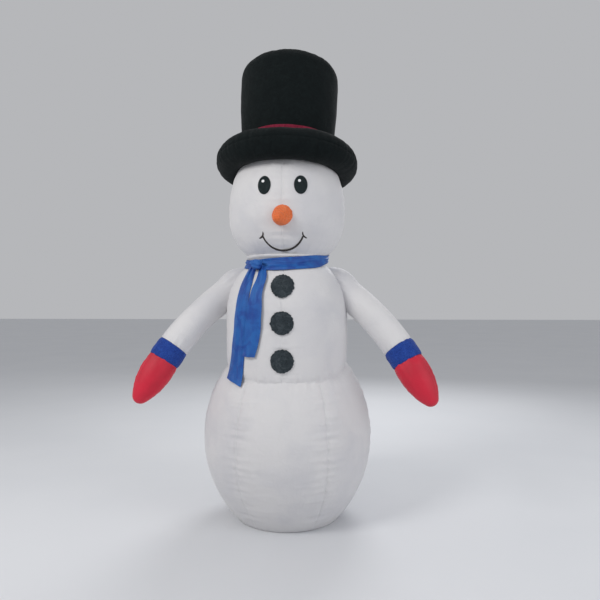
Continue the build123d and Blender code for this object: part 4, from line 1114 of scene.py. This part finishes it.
zip_arc_r = UPPER_ARC[2] + 0.0003
tapes = []
for side in (-1, 1):
    piece = grid(f"zip_side_{side + 1}", 10, 110)

    def on_back_seam(u, _, v, side=side):
        a = radians(3 + 24 * v)
        x = side * (0.0013 + 0.0137 * u)
        radius = zip_arc_r + 0.0005 + 0.00012 * sin(700 * v)
        return x, UPPER_ARC[0] + radius * cos(a), BELLY_Z + radius * sin(a)

    reshape(piece, on_back_seam)
    with_modifier(piece, "SOLIDIFY", thickness=0.0005, offset=0)
    turn_outwards(piece)
    tapes.append(piece)
finished(joined("zip_tape_woven", *tapes), "standing_body", WHITE_TAPE, "tape", "zip_tape", angle=50)

hanger_low, hanger_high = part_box("hanger_tape")
hanger = grid("hanger_tape_woven", 6, 130)
reshape(hanger, lambda u, _, v: (hanger_low.x + u * (hanger_high.x - hanger_low.x),
                                 (hanger_low.y + hanger_high.y) / 2 + 0.0001 * sin(40 * v),
                                 hanger_low.z + v * (hanger_high.z - hanger_low.z)))
with_modifier(hanger, "SOLIDIFY", thickness=0.0008, offset=0)
turn_outwards(hanger)
finished(hanger, "standing_body", WHITE_TAPE, "tape", "hanger_tape", angle=50)

bag_low, bag_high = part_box("ballast_bag")
bag_r, bag_top, bag_foot = (bag_high.x - bag_low.x) / 2, bag_high.z, bag_low.z
bag_half = (bag_top - bag_foot) / 2
bag_rows = [(0.001, bag_foot + 0.001)] + [(bag_r * t, bag_foot + 0.0008) for t in (0.2, 0.4, 0.6, 0.75)]
bag_rows += arc_points(bag_r - bag_half, bag_foot + bag_half, bag_half, -1.4, 1.4, 18)
bag_rows += [(bag_r * t, bag_top - 0.002 * t) for t in (0.75, 0.6, 0.4, 0.2)] + [(0.001, bag_top - 0.002)]
bag = lathe("ballast_sand_bag", bag_rows, 120)


def bag_skin(x, y, z):
    """The sand inside settles, so the upper half sags."""
    sag = 0.004 * (1 + ripple(x, y, 0, 0.05, 97)) * smooth((z - bag_foot) / bag_half - 1)
    return x * 0.985, y * 0.985, z - sag


reshape(bag, bag_skin)
finished(bag, "standing_body", BALLAST_CLOTH, "ballast_cloth", "ballast_bag")


# ======================= parts kept from the model =======================
slot_of = {part["node"]: part["material_slot"] for part in frame["record"]["subparts"]}
for node, part in frame["nodes"].items():
    if slot_of.get(node) in KEPT and not part.hide_render:
        for place in part.material_slots:
            place.material = KEPT[slot_of[node]]


# ======================= ground, light and camera =======================
clear_selection()
bpy.ops.mesh.primitive_plane_add(size=60, location=(0, 0, -0.0005))
ground = bpy.context.object
ground.name = "pale_ground"
ground_finish = Finish("pale_ground", (0.70, 0.71, 0.73), 0.9)
ground_finish.paint(ground_finish.tint((0.72, 0.73, 0.75), (0.66, 0.675, 0.70), ground_finish.cloud(0.9)))
ground.data.materials.append(ground_finish.material)


def soft_light(name, place, aim, size, power, colour):
    light = bpy.data.lights.new(name, "AREA")
    light.shape, light.size, light.energy, light.color = "DISK", size, power, colour
    lamp = bpy.data.objects.new(name, light)
    bpy.context.collection.objects.link(lamp)
    lamp.location = place
    lamp.rotation_euler = (Vector(aim) - Vector(place)).to_track_quat("-Z", "Y").to_euler()


soft_light("key_light", (-2.9, -3.0, 3.6), (0, 0, 1.2), 1.8, 96, (1.0, 0.985, 0.965))
soft_light("fill_light", (3.6, -2.6, 2.2), (0, 0, 1.1), 2.8, 52, (0.97, 0.98, 1.0))
soft_light("back_light", (0.8, 3.6, 3.4), (0, 0, 1.4), 2.4, 80, (0.98, 0.985, 1.0))

world = bpy.data.worlds.new("pale_surround")
world.use_nodes = True
world.node_tree.nodes["Background"].inputs["Color"].default_value = (0.85, 0.86, 0.89, 1)
world.node_tree.nodes["Background"].inputs["Strength"].default_value = 0.55
bpy.context.scene.world = world

CAMERA_REACH, CAMERA_AZIMUTH, CAMERA_YAW, CAMERA_Z, CAMERA_LENS = 3.02, 4.5, -1.23, 1.143, 33.6
around = radians(CAMERA_AZIMUTH)
camera_data = bpy.data.cameras.new("camera")
camera_data.lens, camera_data.sensor_width = CAMERA_LENS, 36
camera = bpy.data.objects.new("camera", camera_data)
bpy.context.collection.objects.link(camera)
camera.location = (CAMERA_REACH * sin(around), -CAMERA_REACH * cos(around), CAMERA_Z)
camera.rotation_euler = (pi / 2, 0, around + radians(CAMERA_YAW))
bpy.context.scene.camera = camera
bpy.context.scene.view_settings.view_transform = "Standard"

clear_selection()
